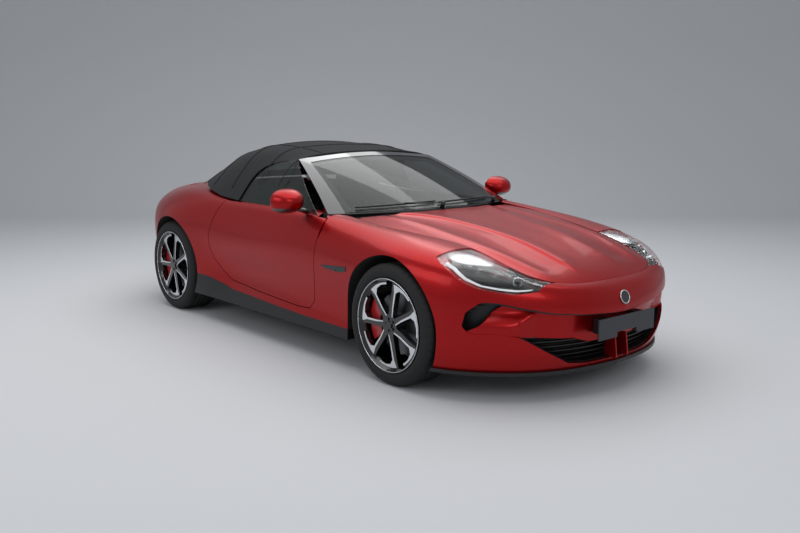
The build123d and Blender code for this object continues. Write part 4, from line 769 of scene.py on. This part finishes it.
def joined(parts):
    """One bmesh from several, which are freed."""
    whole = bmesh.new()
    for part in parts:
        mesh = bpy.data.meshes.new("part")
        part.to_mesh(mesh)
        part.free()
        whole.from_mesh(mesh)
        bpy.data.meshes.remove(mesh)
    return whole


def tube_piece(name, points, radius, sides, material, body):
    """Finished piece of one tube."""
    return finish_piece(as_object(tube(points, radius, sides), name), material, body, edge=0)


def ring_round(turn, radius, steps):
    """Places on a closed circle in the XY plane of a matrix, in metres."""
    turns = [2 * math.pi * k / steps for k in range(steps + 1)]
    return [turn @ Vector((radius * math.cos(a), radius * math.sin(a), 0)) for a in turns]


# The screen's foot and head: half width, y at the middle and its change towards a side, then z likewise.
SCREEN_FOOT = (800.0, -850.0, 245.0, 925.0, -12.0)
SCREEN_HEAD = (606.0, 3.0, -14.0, 1262.0, -46.0)
SCREEN_BOW = 12.0


def screen_place(across, up, out=0.0):
    """Place on the windscreen: across from -1 to 1, up from 0 at the foot to 1 at the header, out in mm."""
    foot, head = SCREEN_FOOT, SCREEN_HEAD
    half = foot[0] + (head[0] - foot[0]) * up
    y0, z0 = foot[1] + foot[2] * abs(across) ** 2.2, foot[3] + foot[4] * across * across
    y1, z1 = head[1] + head[2] * across * across, head[3] + head[4] * across * across
    bow = SCREEN_BOW * 4 * up * (1 - up) + out
    return Vector((across * half, y0 + (y1 - y0) * up - bow * 0.4, z0 + (z1 - z0) * up + bow * 0.9)) * MM


foot_line = [(a * 82, SCREEN_FOOT[1] + SCREEN_FOOT[2] * abs(a / 10) ** 2.2 + 45) for a in range(9, -10, -1)]
scuttle_plan = both_sides([(-700, -738)] + [(x, y + 7) for x, y in BONNET_REAR]) + foot_line
scuttle = cut(
    cap_sheet(bonnet_height, BONNET_FALL, 760, -1000, -560, 90, 50, proud=-14, deep=4), "scuttle_panel",
    keep=[prism(scuttle_plan, "plan", BELOW, ABOVE)],
    away=[prism([(side * x, y) for x, y in ((556, -900), (556, -715), (604, -715), (604, -900))],
                "plan", 700, ABOVE) for side in (-1, 1)])
finish_piece(scuttle, grille_plastic, "body", edge=1.0)
for k, (first, last) in enumerate(((-0.80, -0.08), (-0.06, 0.66))):
    blade = [screen_place(first + (last - first) * i / 24, 0.055 + 0.02 * i / 24, 10) for i in range(25)]
    arm = [screen_place(last + 0.03 - 0.35 * i / 12, 0.02 + 0.035 * i / 12, 22) for i in range(13)]
    pivot = drum(facing_out(arm[0] - Vector((0, 0, 0.015)), Vector((0, -0.35, 0.93))), 0.014, 0.05, 24)
    finish_piece(as_object(joined([tube(blade, 0.006, 8), tube(arm, 0.0045, 8), pivot]), f"wiper_{k + 1}"),
                 grille_plastic, "body", edge=0)

BADGE_Z, BADGE_R = 0.537, 0.036
at, facing = bumper_skin.ray_cast(Vector((0.0, -2.6, BADGE_Z)), Vector((0, 1, 0)))[1:3]
bright_trim = finish("satin_chrome_trim", "#C9CCD0", 0.22, 1, 0.003, 0.00004)
enamel = finish("dark_enamel", "#15181C", 0.25, 0, 0.003, 0.00004, coat_weight=0.6)
tube_piece("badge_ring", ring_round(facing_out(at + facing * 0.003, facing), BADGE_R, 48), 0.0035, 10,
           bright_trim, "body")
badge = drum(facing_out(at + facing * 0.001, facing), BADGE_R - 0.002, 0.007, 48)
finish_piece(as_object(badge, "badge_blank"), enamel, "body", edge=1.0)

VENT = [(-672, 612), (-800, 624), (-958, 636), (-956, 606), (-880, 592), (-736, 596)]
side_pair("side_vent", (STATION[5], STATION[8]), 90, VENT, -300, bezel_black, "body", "gloss_black",
          edge=1.5, proud=4.0, deep=4.0)

# ---- black mouldings, glass and running gear ------------------------------------------------------
# The frame's own solids in their real materials: moulded polypropylene below the paint, gloss black
# round the screen, laminated glass, and the cast parts underneath. The screen's black-fired border lies
# on the inside of its glass.
gloss_trim = finish("gloss_black_lacquer", "#0A0A0C", 0.10, 0, 0.02, 0.00003, coat_weight=0.8)
glass = finish("green_tinted_laminated_glass", "#1B231F", 0.02, 0, 0.4, 0.000004, ior=1.52, alpha=0.52)
red_lens = finish("red_acrylic_lens", "#7E0510", 0.10, 0, 0.004, 0.0003, stretch=(6, 1, 1), coat_weight=0.8)
chassis_coat = finish("black_electrocoat", "#1A1B1D", 0.55, 0.2, 0.004, 0.00012)
cast_metal = finish("cast_aluminium", "#7F8285", 0.5, 1, 0.002, 0.0002)
turned_iron = finish("machined_cast_iron", "#6B6C6E", 0.38, 1, 0.0012, 0.00012)
dress(("intake_grille", "front_splitter", "side_skirts", "rear_diffuser"), grille_plastic)
dress(("windscreen_frame",), gloss_trim)
dress(("windscreen", "door_glass_left", "door_glass_right", "rear_window"), glass)
dress(("tail_lamp",), red_lens)
dress(("body_tub", "power_units"), chassis_coat)
dress(("front_suspension", "rear_suspension", "knuckle_left", "knuckle_right"), cast_metal)
dress([f"disc_{end}_{hand}" for end in ("front", "rear") for hand in ("left", "right")], turned_iron)

# Shares of the screen that the border spans (half across, top) and leaves clear (half across, low, high).
BORDER_HALF, BORDER_TOP, CLEAR_HALF, CLEAR_LOW, CLEAR_HIGH, BORDER_BACK = 0.885, 0.925, 0.825, 0.085, 0.865, 9


def on_border(place):
    """Place on the screen, as (across, up), of a place on the border's unit square."""
    return place.x * 2 * BORDER_HALF, (place.y + 0.5) * BORDER_TOP


def is_clear(face):
    """Whether a face lies in the screen's clear middle."""
    across, up = on_border(face.calc_center_median())
    return abs(across) < CLEAR_HALF and CLEAR_LOW < up < CLEAR_HIGH


bm = bmesh.new()
bmesh.ops.create_grid(bm, x_segments=118, y_segments=74, size=0.5)
bmesh.ops.delete(bm, geom=[face for face in bm.faces if is_clear(face)], context="FACES")
for vertex in bm.verts:
    vertex.co = screen_place(*on_border(vertex.co), -BORDER_BACK)
finish_piece(as_object(thicken(bm, 0, 0.8), "screen_black_border"), gloss_trim, "body", edge=0)

# ---- door mirrors and door trim -------------------------------------------------------------------
# Each mirror has a body-colour cap over a gloss-black foot, with silvered glass facing back. The doors'
# inner faces are trimmed in black leather cloth.
mirror_glass = finish("silvered_mirror_glass", "#C3C8CC", 0.03, 1, 0.3, 0.00002)
MIRROR_AT, MIRROR_HALF_X, MIRROR_HALF_Z, MIRROR_NOSE, MIRROR_BACK = (958, -372, 985), 113, 78, 118, 34
MIRROR_REAR_Y, FOOT_LINE_Z, TRIM_INSIDE_X = -346, 0.945, 0.80
MIRROR_FOOT = ((838, -425, 905), (868, -422, 925), (905, -415, 940), (935, -405, 946))
for side, hand in HANDS:
    bm = bmesh.new()
    bmesh.ops.create_uvsphere(bm, u_segments=64, v_segments=40, radius=1.0)
    for vertex in bm.verts:
        c = vertex.co
        x, z = math.copysign(abs(c.x) ** 0.8, c.x), math.copysign(abs(c.z) ** 0.85, c.z)
        taper = 1.0 if c.y > 0 else 1.0 - 0.16 * c.y * c.y
        vertex.co = Vector((side * (MIRROR_AT[0] - MIRROR_HALF_X * x * taper),
                            MIRROR_AT[1] + (MIRROR_NOSE if c.y < 0 else MIRROR_BACK) * c.y,
                            MIRROR_AT[2] + MIRROR_HALF_Z * z * taper)) * MM
    bmesh.ops.recalc_face_normals(bm, faces=bm.faces)
    ahead_of_glass = prism(oblong(0, REACH, 800, 1200), "front", -600, MIRROR_REAR_Y)
    cap = cut(bm, f"mirror_cap_{hand}", keep=[ahead_of_glass])
    finish_piece(cap, red_lacquer, f"door_{hand}", [f"mirror_{hand}"], edge=2.0)
    cap.data.materials.append(gloss_trim)
    for polygon in cap.data.polygons:
        behind = polygon.center.y > (MIRROR_REAR_Y - 3) * MM
        polygon.material_index = 1 if polygon.center.z < FOOT_LINE_Z or behind else 0
    stalk = tube([Vector((side * x, y, z)) * MM for x, y, z in MIRROR_FOOT], 0.021, 16)
    bmesh.ops.scale(stalk, verts=stalk.verts, vec=(1, 1.7, 0.75), space=Matrix.Translation((0, 0.415, -0.93)))
    finish_piece(as_object(stalk, f"mirror_foot_{hand}"), gloss_trim, f"door_{hand}", edge=0)
    slab(f"mirror_glass_{hand}", oblong(side * MIRROR_AT[0], 92, 930, 1040), "front", MIRROR_REAR_Y - 1,
         MIRROR_REAR_Y + 3, mirror_glass, f"door_{hand}", edge=0.8, corner=34)

door_trim = finish("black_leathercloth", "#17171A", 0.6, 0, 0.0025, 0.0002)
for name in ("door_left", "door_right"):
    mesh = nodes[name].data
    mesh.materials.append(door_trim)
    for polygon in mesh.polygons:
        if abs(polygon.center.x) < TRIM_INSIDE_X:
            polygon.material_index = 2

# ---- wheels ---------------------------------------------------------------------------------------
# Gloss-black seven-spoke rims with bright-cut spoke faces, tyres with grooves and shoulder sipes, and
# red brake calipers over the discs.
rubber = finish("tyre_rubber", "#141415", 0.82, 0, 0.0015, 0.00012)
rim_black = finish("gloss_black_powder_coat", "#0D0D0F", 0.16, 0.25, 0.006, 0.00004, coat_weight=0.7)
cut_metal = finish("diamond_cut_aluminium", "#DDE0E3", 0.20, 1, 0.0006, 0.00003, stretch=(1, 1, 8))
caliper_red = finish("red_caliper_paint", "#A80C12", 0.35, 0, 0.002, 0.0001, coat_weight=0.5)
RIM_R, TYRE_STEPS, SIPE_EVERY, SIPE_DEEP = 268, 288, 6, 4
GROOVE_AT, GROOVE_HALF, GROOVE_DEEP = (0.2, 0.62), 5, 7
SPOKES, SPOKE_FACE, LIP_X, LIP_R, NUTS_R = 7, 915, 932, 266, 34
HOOK = [(232, a) for a in range(20, 34, 4)]
CUT_FACE = [(56, 19), (110, 7), (198, 4), (224, 10)] + HOOK + [(235, 33), (243, 33)]
CUT_FACE += [(244, a) for a in range(30, 0, -4)] + [(243, -3), (198, 0.2), (110, 1.8), (56, 11.5)]
CALIPER = [(220, a) for a in range(-34, 35, 4)] + [(128, a) for a in range(34, -35, -4)]


def wheel_place(axle, x, radius, degrees):
    """Place on a wheel in metres, from polar measures round its axle."""
    turn = math.radians(degrees)
    return Vector((x, axle + radius * math.cos(turn), TYRE_R + radius * math.sin(turn))) * MM


def tyre_section(half):
    """Half tyre from the bead to the middle of the tread: (distance from the middle, radius)."""
    section = [(half - 30, RIM_R - 6), (half - 12, RIM_R + 4), (half - 4, RIM_R + 12), (half - 2, RIM_R + 20),
               (half + 0.5, RIM_R + 26), (half - 1, RIM_R + 32), (half, RIM_R + 42), (half - 1, RIM_R + 48),
               (half - 4, TYRE_R - 28), (half - 8, TYRE_R - 19), (half - 13, TYRE_R - 11),
               (half - 20, TYRE_R - 6), (half - 27, TYRE_R - 2), (half - 34, TYRE_R)]
    for share in reversed(GROOVE_AT):
        middle = (half - 34) * share
        section += [(middle + GROOVE_HALF, TYRE_R), (middle + GROOVE_HALF - 1, TYRE_R - GROOVE_DEEP),
                    (middle - GROOVE_HALF + 1, TYRE_R - GROOVE_DEEP), (middle - GROOVE_HALF, TYRE_R)]
    return section


def tyre(axle, middle, half):
    """Tyre as one closed ring, its shoulders cut across by sipes."""
    section = tyre_section(half)
    section += [(-x, r) for x, r in reversed(section)]
    bm = bmesh.new()
    rings = []
    for k in range(TYRE_STEPS):
        sipe = SIPE_DEEP if k % SIPE_EVERY == 0 else 0
        places = [(x, r - (sipe if r > TYRE_R - 12 and abs(x) > half - 40 else 0)) for x, r in section]
        turn = 360 * k / TYRE_STEPS
        rings.append([bm.verts.new(wheel_place(axle, middle + x, r, turn)) for x, r in places])
    for ring, after in zip(rings, rings[1:] + rings[:1]):
        for i in range(len(section)):
            j = (i + 1) % len(section)
            bm.faces.new((ring[i], after[i], after[j], ring[j]))
    bmesh.ops.recalc_face_normals(bm, faces=bm.faces)
    return bm


def wheel_outline(axle, polar, turn=0.0):
    """Side view (y, z) of an outline given by radii and degrees round an axle."""
    return [(p.y / MM, p.z / MM) for p in (wheel_place(axle, 0, r, a + turn) for r, a in polar)]


for corner, side, axle, middle, half, carrier in (
    ("front_right", -1, FRONT_AXLE, 812.5, 122.5, "knuckle_right"),
    ("front_left", 1, FRONT_AXLE, 812.5, 122.5, "knuckle_left"),
    ("rear_right", -1, REAR_AXLE, 797.5, 137.5, "body"),
    ("rear_left", 1, REAR_AXLE, 797.5, 137.5, "body"),
):
    wheel, out = f"wheel_{corner}", Vector((side, 0, 0))
    finish_piece(as_object(tyre(axle, side * middle, half), f"tyre_tread_{corner}"), rubber, wheel,
                 [f"tyre_{corner}"], edge=0)
    dress((f"rim_{corner}",), rim_black)
    plates = [prism(wheel_outline(axle, CUT_FACE, 360 * k / SPOKES), "side", side * SPOKE_FACE,
                    side * (SPOKE_FACE + 2.2)) for k in range(SPOKES)]
    finish_piece(cut(joined(plates), f"cut_faces_{corner}"), cut_metal, wheel, edge=0.7)
    lip = [wheel_place(axle, side * LIP_X, LIP_R, 3 * k) for k in range(121)]
    tube_piece(f"cut_lip_{corner}", lip, 0.0022, 8, cut_metal, wheel)
    nuts = [drum(facing_out(wheel_place(axle, side * (SPOKE_FACE + 1), NUTS_R, 72 * k), out), 0.010, 0.012, 6)
            for k in range(5)]
    nuts.append(drum(facing_out(wheel_place(axle, side * (SPOKE_FACE + 2), 0, 0), out), 0.024, 0.010, 40))
    finish_piece(as_object(joined(nuts), f"wheel_nuts_{corner}"), rim_black, wheel, edge=0.8)
    slab(f"caliper_{corner}", wheel_outline(axle, CALIPER), "side", side * 849, side * 876, caliper_red,
         carrier, edge=3.0)


# ---- fabric roof ----------------------------------------------------------------------------------
# A hood of woven acrylic, stretched over its bows: the outer cloth, a black knitted lining, and welted
# seams over the bows and along both sides. The cloth follows the frame's roof and stands a little proud.
roof_cloth = finish("charcoal_woven_acrylic_canvas", "#17181B", 0.93, 0, 0, 0)
cloth_place = add_node(roof_cloth, "ShaderNodeTexCoord")
weave = [add_node(roof_cloth, "ShaderNodeTexWave", {"bands_direction": way},
                  {"Scale": 260.0, "Distortion": 1.2}, {"Vector": (cloth_place, "Object")})
         for way in ("X", "Y")]
crossed = add_node(roof_cloth, "ShaderNodeMath", {"operation": "MULTIPLY"},
                   links={0: (weave[0], "Fac"), 1: (weave[1], "Fac")})
cloth_bump = add_node(roof_cloth, "ShaderNodeBump", values={"Strength": 0.8, "Distance": 0.0005},
                      links={"Height": (crossed, "Value")})
into_shader(roof_cloth, "Normal", cloth_bump, "Normal")
mottle(roof_cloth, cloth_place, 60.0, 6.0, "#131416", "#1B1C20")
lining_cloth = finish("black_knitted_lining", "#121214", 0.95, 0, 0.004, 0.0001)
ROOF_ROWS = [
    (0, (0, 1264), (330, 1254), (500, 1236), (606, 1208), (818, 912)),
    (260, (0, 1302), (340, 1290), (520, 1258), (628, 1188), (828, 900)),
    (560, (0, 1326), (340, 1308), (535, 1262), (650, 1165), (842, 900)),
    (860, (0, 1296), (340, 1276), (530, 1222), (660, 1120), (836, 918)),
    (1100, (0, 1220), (335, 1200), (515, 1145), (640, 1062), (790, 945)),
    (1290, (0, 1112), (330, 1095), (490, 1055), (600, 1015), (700, 968)),
    (1420, (0, 1010), (320, 1002), (470, 990), (560, 978), (620, 962)),
]
roof_y = [row[0] for row in ROOF_ROWS]
roof_lines = [[smooth(roof_y, [row[1 + k][axis] for row in ROOF_ROWS]) for axis in (0, 1)] for k in range(5)]


def roof_curve(y):
    """Function from a share, 0 at the right-hand hem to 1 at the left, to a place on the roof at one y."""
    knots = [(-half(y), high(y)) for half, high in reversed(roof_lines)]
    knots += [(-x, z) for x, z in reversed(knots[:-1])]
    run = [0.0]
    for here, there in zip(knots, knots[1:]):
        run.append(run[-1] + math.dist(here, there))
    fx, fz = smooth(run, [k[0] for k in knots]), smooth(run, [k[1] for k in knots])
    return lambda share: Vector((fx(run[-1] * share), y, fz(run[-1] * share))) * MM


def roof_sheet(proud, deep):
    """Sheet over the whole roof, with a slight sag of the cloth between its bows."""
    bm = bmesh.new()
    bmesh.ops.create_grid(bm, x_segments=150, y_segments=160, size=0.5)
    curves = {}
    for vertex in bm.verts:
        y = round(-30 + 1450 * (vertex.co.y + 0.5), 3)
        if y not in curves:
            curves[y] = roof_curve(y)
        vertex.co = curves[y](vertex.co.x + 0.5)
        from_bow = min(abs(vertex.co.y / MM - bow) for bow in BOWS)
        vertex.co.z -= 0.0016 * min(1.0, from_bow / 120) if vertex.co.z > 1.0 else 0.0
    return thicken(bm, proud, deep)


BOWS = (20, 300, 620, 930, 1180)
DOOR_GLASS = [(-545, 890), (-4, 1196), (60, 1206), (160, 1202), (270, 1184), (350, 1156), (400, 1120),
              (428, 1060), (456, 890), (452, 800), (-545, 800)]
ROOF_SIDE = [(9.5, 1400), (9.5, 1100), (300, 924), (460, 924), (700, 940), (1100, 1000), (1180, 1014),
             (1500, 1014), (1500, 1400)]
REAR_WINDOW = [(0, 1230), (-330, 1220), (-370, 1120), (-330, 1075), (0, 1070)]


def roof_piece(name, proud, deep, material, replaced=()):
    """Finished layer of the roof, open at the door glasses and the rear window."""
    glass_gap = grown(DOOR_GLASS, 6)
    piece = cut(roof_sheet(proud, deep), name, keep=[prism(ROOF_SIDE, "side", -REACH, REACH)],
                away=[prism(glass_gap, "side", side * REACH, side * 300) for side in (-1, 1)]
                + [prism(whole_front(REAR_WINDOW), "front", 900, 1500, corner=30)])
    return finish_piece(piece, material, "body", replaced, edge=0.8)


roof_outer = roof_piece("hood_cloth", 2.0, 4.0, roof_cloth, ["soft_top"])
roof_lining = roof_piece("hood_lining", -17, 3.0, lining_cloth)
seams = {}
for k, y in enumerate(BOWS):
    curve, last = roof_curve(y), 0.97 if y < 1000 else 0.99
    path = [curve(1 - last + (2 * last - 1) * i / 70) for i in range(71)]
    path = [p + Vector((p.x * 0.004, 0, 0.0035)) for p in path if p.z > (1.03 if y < 500 else 0.99)]
    seams[f"hood_seam_{k + 1}"] = path, 0.0026
for (side, hand), share in zip(HANDS, (0.31, 0.69)):
    path = [roof_curve(60 + 1180 * i / 60)(share) + Vector((side * 0.0015, 0, 0.003)) for i in range(61)]
    seams[f"hood_side_seam_{hand}"] = path, 0.0022
trimmings = [tube_piece(name, path, radius, 8, roof_cloth, "body")
             for name, (path, radius) in seams.items()]

# ---- cabin ----------------------------------------------------------------------------------------
# Two leather bucket seats on black shells, a soft-grained fascia with its air vents and screens, a
# leather steering wheel and the interior mirror.
leather = finish("black_seat_leather", "#1A1A1C", 0.46, 0, 0.0016, 0.00025, detail=6.0)
soft_trim = finish("soft_grained_fascia_trim", "#18191B", 0.62, 0, 0.002, 0.0002)
screen_dark = finish("switched_off_screen_glass", "#050607", 0.06, 0, 0.2, 0.00002)
SEAT_X = 370


def pad(name, outline, wide, thick, swell):
    """Stuffed leather pad: a slab between four side-view corners, blown up by a cloth simulation."""
    bm = bmesh.new()
    for x in (-wide / 2, wide / 2):
        for y, z in outline:
            bm.verts.new(Vector((x, y, z)) * MM)
    bmesh.ops.convex_hull(bm, input=bm.verts[:])
    bmesh.ops.recalc_face_normals(bm, faces=bm.faces)
    bmesh.ops.bevel(bm, geom=bm.edges[:], offset=thick * MM, segments=3, profile=0.5, affect="EDGES",
                    material=-1)
    piece = as_object(bm, name)
    remesh = piece.modifiers.new("remesh", "REMESH")
    remesh.mode, remesh.voxel_size = "VOXEL", 0.008
    settle(piece)
    rest = [v.co.copy() for v in piece.data.vertices]
    cloth = piece.modifiers.new("cloth", "CLOTH")
    cloth.settings.use_pressure, cloth.settings.uniform_pressure_force = True, 4.0
    cloth.settings.effector_weights.gravity = 0.0
    cloth.settings.quality = 4
    for frame_number in range(1, 15):
        scene.frame_set(frame_number)
    bpy.context.view_layer.update()
    blown = bpy.data.meshes.new_from_object(piece.evaluated_get(bpy.context.evaluated_depsgraph_get()))
    for vertex, before in zip(blown.vertices, rest):
        move = vertex.co - before
        if move.length > swell * MM:
            vertex.co = before + move.normalized() * swell * MM
    piece.modifiers.clear()
    old, piece.data = piece.data, blown
    bpy.data.meshes.remove(old)
    scene.frame_set(1)
    return piece


def leant(points, lean, at):
    """Side-view points turned by lean degrees about a place."""
    c, s = math.cos(math.radians(lean)), math.sin(math.radians(lean))
    return [(at[0] + y * c - z * s, at[1] + y * s + z * c) for y, z in points]


SEAT_PADS = {
    "cushion": (leant([(-10, 0), (400, 0), (400, 78), (-10, 88)], -4, (-80, 470)), 300, 14, 12, 0),
    "backrest": (leant([(0, 30), (0, 430), (-70, 420), (-82, 40)], -14, (440, 470)), 300, 14, 12, 0),
    "headrest": (leant([(0, 455), (0, 590), (-60, 575), (-60, 455)], -14, (440, 470)), 220, 16, 9, 0),
    "thigh_bolster": (leant([(-10, 0), (400, 0), (400, 120), (-10, 112)], -4, (-80, 470)), 70, 18, 8, 195),
    "back_bolster": (leant([(0, 30), (0, 430), (-105, 390), (-125, 40)], -14, (440, 470)), 72, 18, 8, 195),
}
for part, (outline, wide, thick, swell, off) in SEAT_PADS.items():
    blown = pad(f"seat_{part}", outline, wide, thick, swell)
    for side, hand in HANDS:
        for k, shift in enumerate((-off, off) if off else (0,)):
            bm = bmesh.new()
            bm.from_mesh(blown.data)
            bmesh.ops.translate(bm, verts=bm.verts, vec=Vector((side * SEAT_X + shift, 0, 0)) * MM)
            piece = as_object(bm, f"seat_{part}_{hand}" + (f"_{k + 1}" if off else ""))
            finish_piece(piece, leather, "body", edge=0)
    discard(blown)
SHELL = [(-70, 285), (-100, 430), (-80, 466), (330, 440), (430, 462), (560, 880), (600, 1060), (640, 1060),
         (640, 960), (560, 640), (520, 400), (500, 285)]
for side, hand in HANDS:
    slab(f"seat_shell_{hand}", SHELL, "side", side * SEAT_X - 205, side * SEAT_X + 205, soft_trim, "body",
         ["seats"] if side < 0 else (), edge=14, segments=3)

dress(("dashboard",), soft_trim)
dress(("steering_wheel",), leather)
SCREENS = (("driver_screen", -370, 150, 885, 945, -500), ("middle_screen", 0, 130, 770, 870, -402))
for name, x, half, low, high, y in SCREENS:
    slab(name, oblong(x, half, low, high), "front", y, y + 14, screen_dark, "body", corner=12)
for k, x in enumerate((-600, -190, 190, 600)):
    upright = Matrix.Translation(Vector((x, -402, 830)) * MM) @ Matrix.Rotation(math.pi / 2, 4, "X")
    tube_piece(f"air_vent_{k + 1}", ring_round(upright, 0.036, 36), 0.005, 8, bright_trim, "body")
slab("interior_mirror", oblong(0, 115, 1150, 1212), "front", -92, -66, gloss_trim, "body",
     edge=4, corner=22)
stalk = [Vector((0, -0.08, 1.205)), Vector((0, -0.06, 1.232)), screen_place(0, 0.935, -4)]
tube_piece("interior_mirror_stalk", stalk, 0.008, 12, gloss_trim, "body")

# ---- tail -----------------------------------------------------------------------------------------
# A blank number plate on its bed under the light bar, and seven strakes standing on the diffuser. The
# plate's place is bare of text, and the strakes start where the diffuser's rear face is.
plate_white = finish("blank_number_plate", "#D8D9D6", 0.45, 0, 0.004, 0.00005)
PLATE_Z, STRAKE_Z, FORWARD = 0.60, 0.20, Vector((0, -1, 0))
plate_y = tail_skin.ray_cast(Vector((0.0, 2.8, PLATE_Z)), FORWARD)[1].y / MM
slab("plate_bed", oblong(0, 275, 535, 665), "front", plate_y - 60, plate_y + 4, grille_plastic, "body",
     edge=2.0, corner=18)
slab("blank_rear_plate", oblong(0, 260, 545, 655), "front", plate_y + 4, plate_y + 7, plate_white, "body",
     edge=0.6, corner=10)
for k in range(7):
    x = -330 + 110 * k
    hit, at = nodes["rear_diffuser"].ray_cast(Vector((x * MM, 2.8, STRAKE_Z)), FORWARD)[:2]
    back = at.y / MM if hit else 2160
    strake = [(back - 90, 170), (back - 90, 300), (back + 6, 310), (back + 14, 210)]
    slab(f"diffuser_strake_{k + 1}", strake, "side", x - 4, x + 4, grille_plastic, "body")
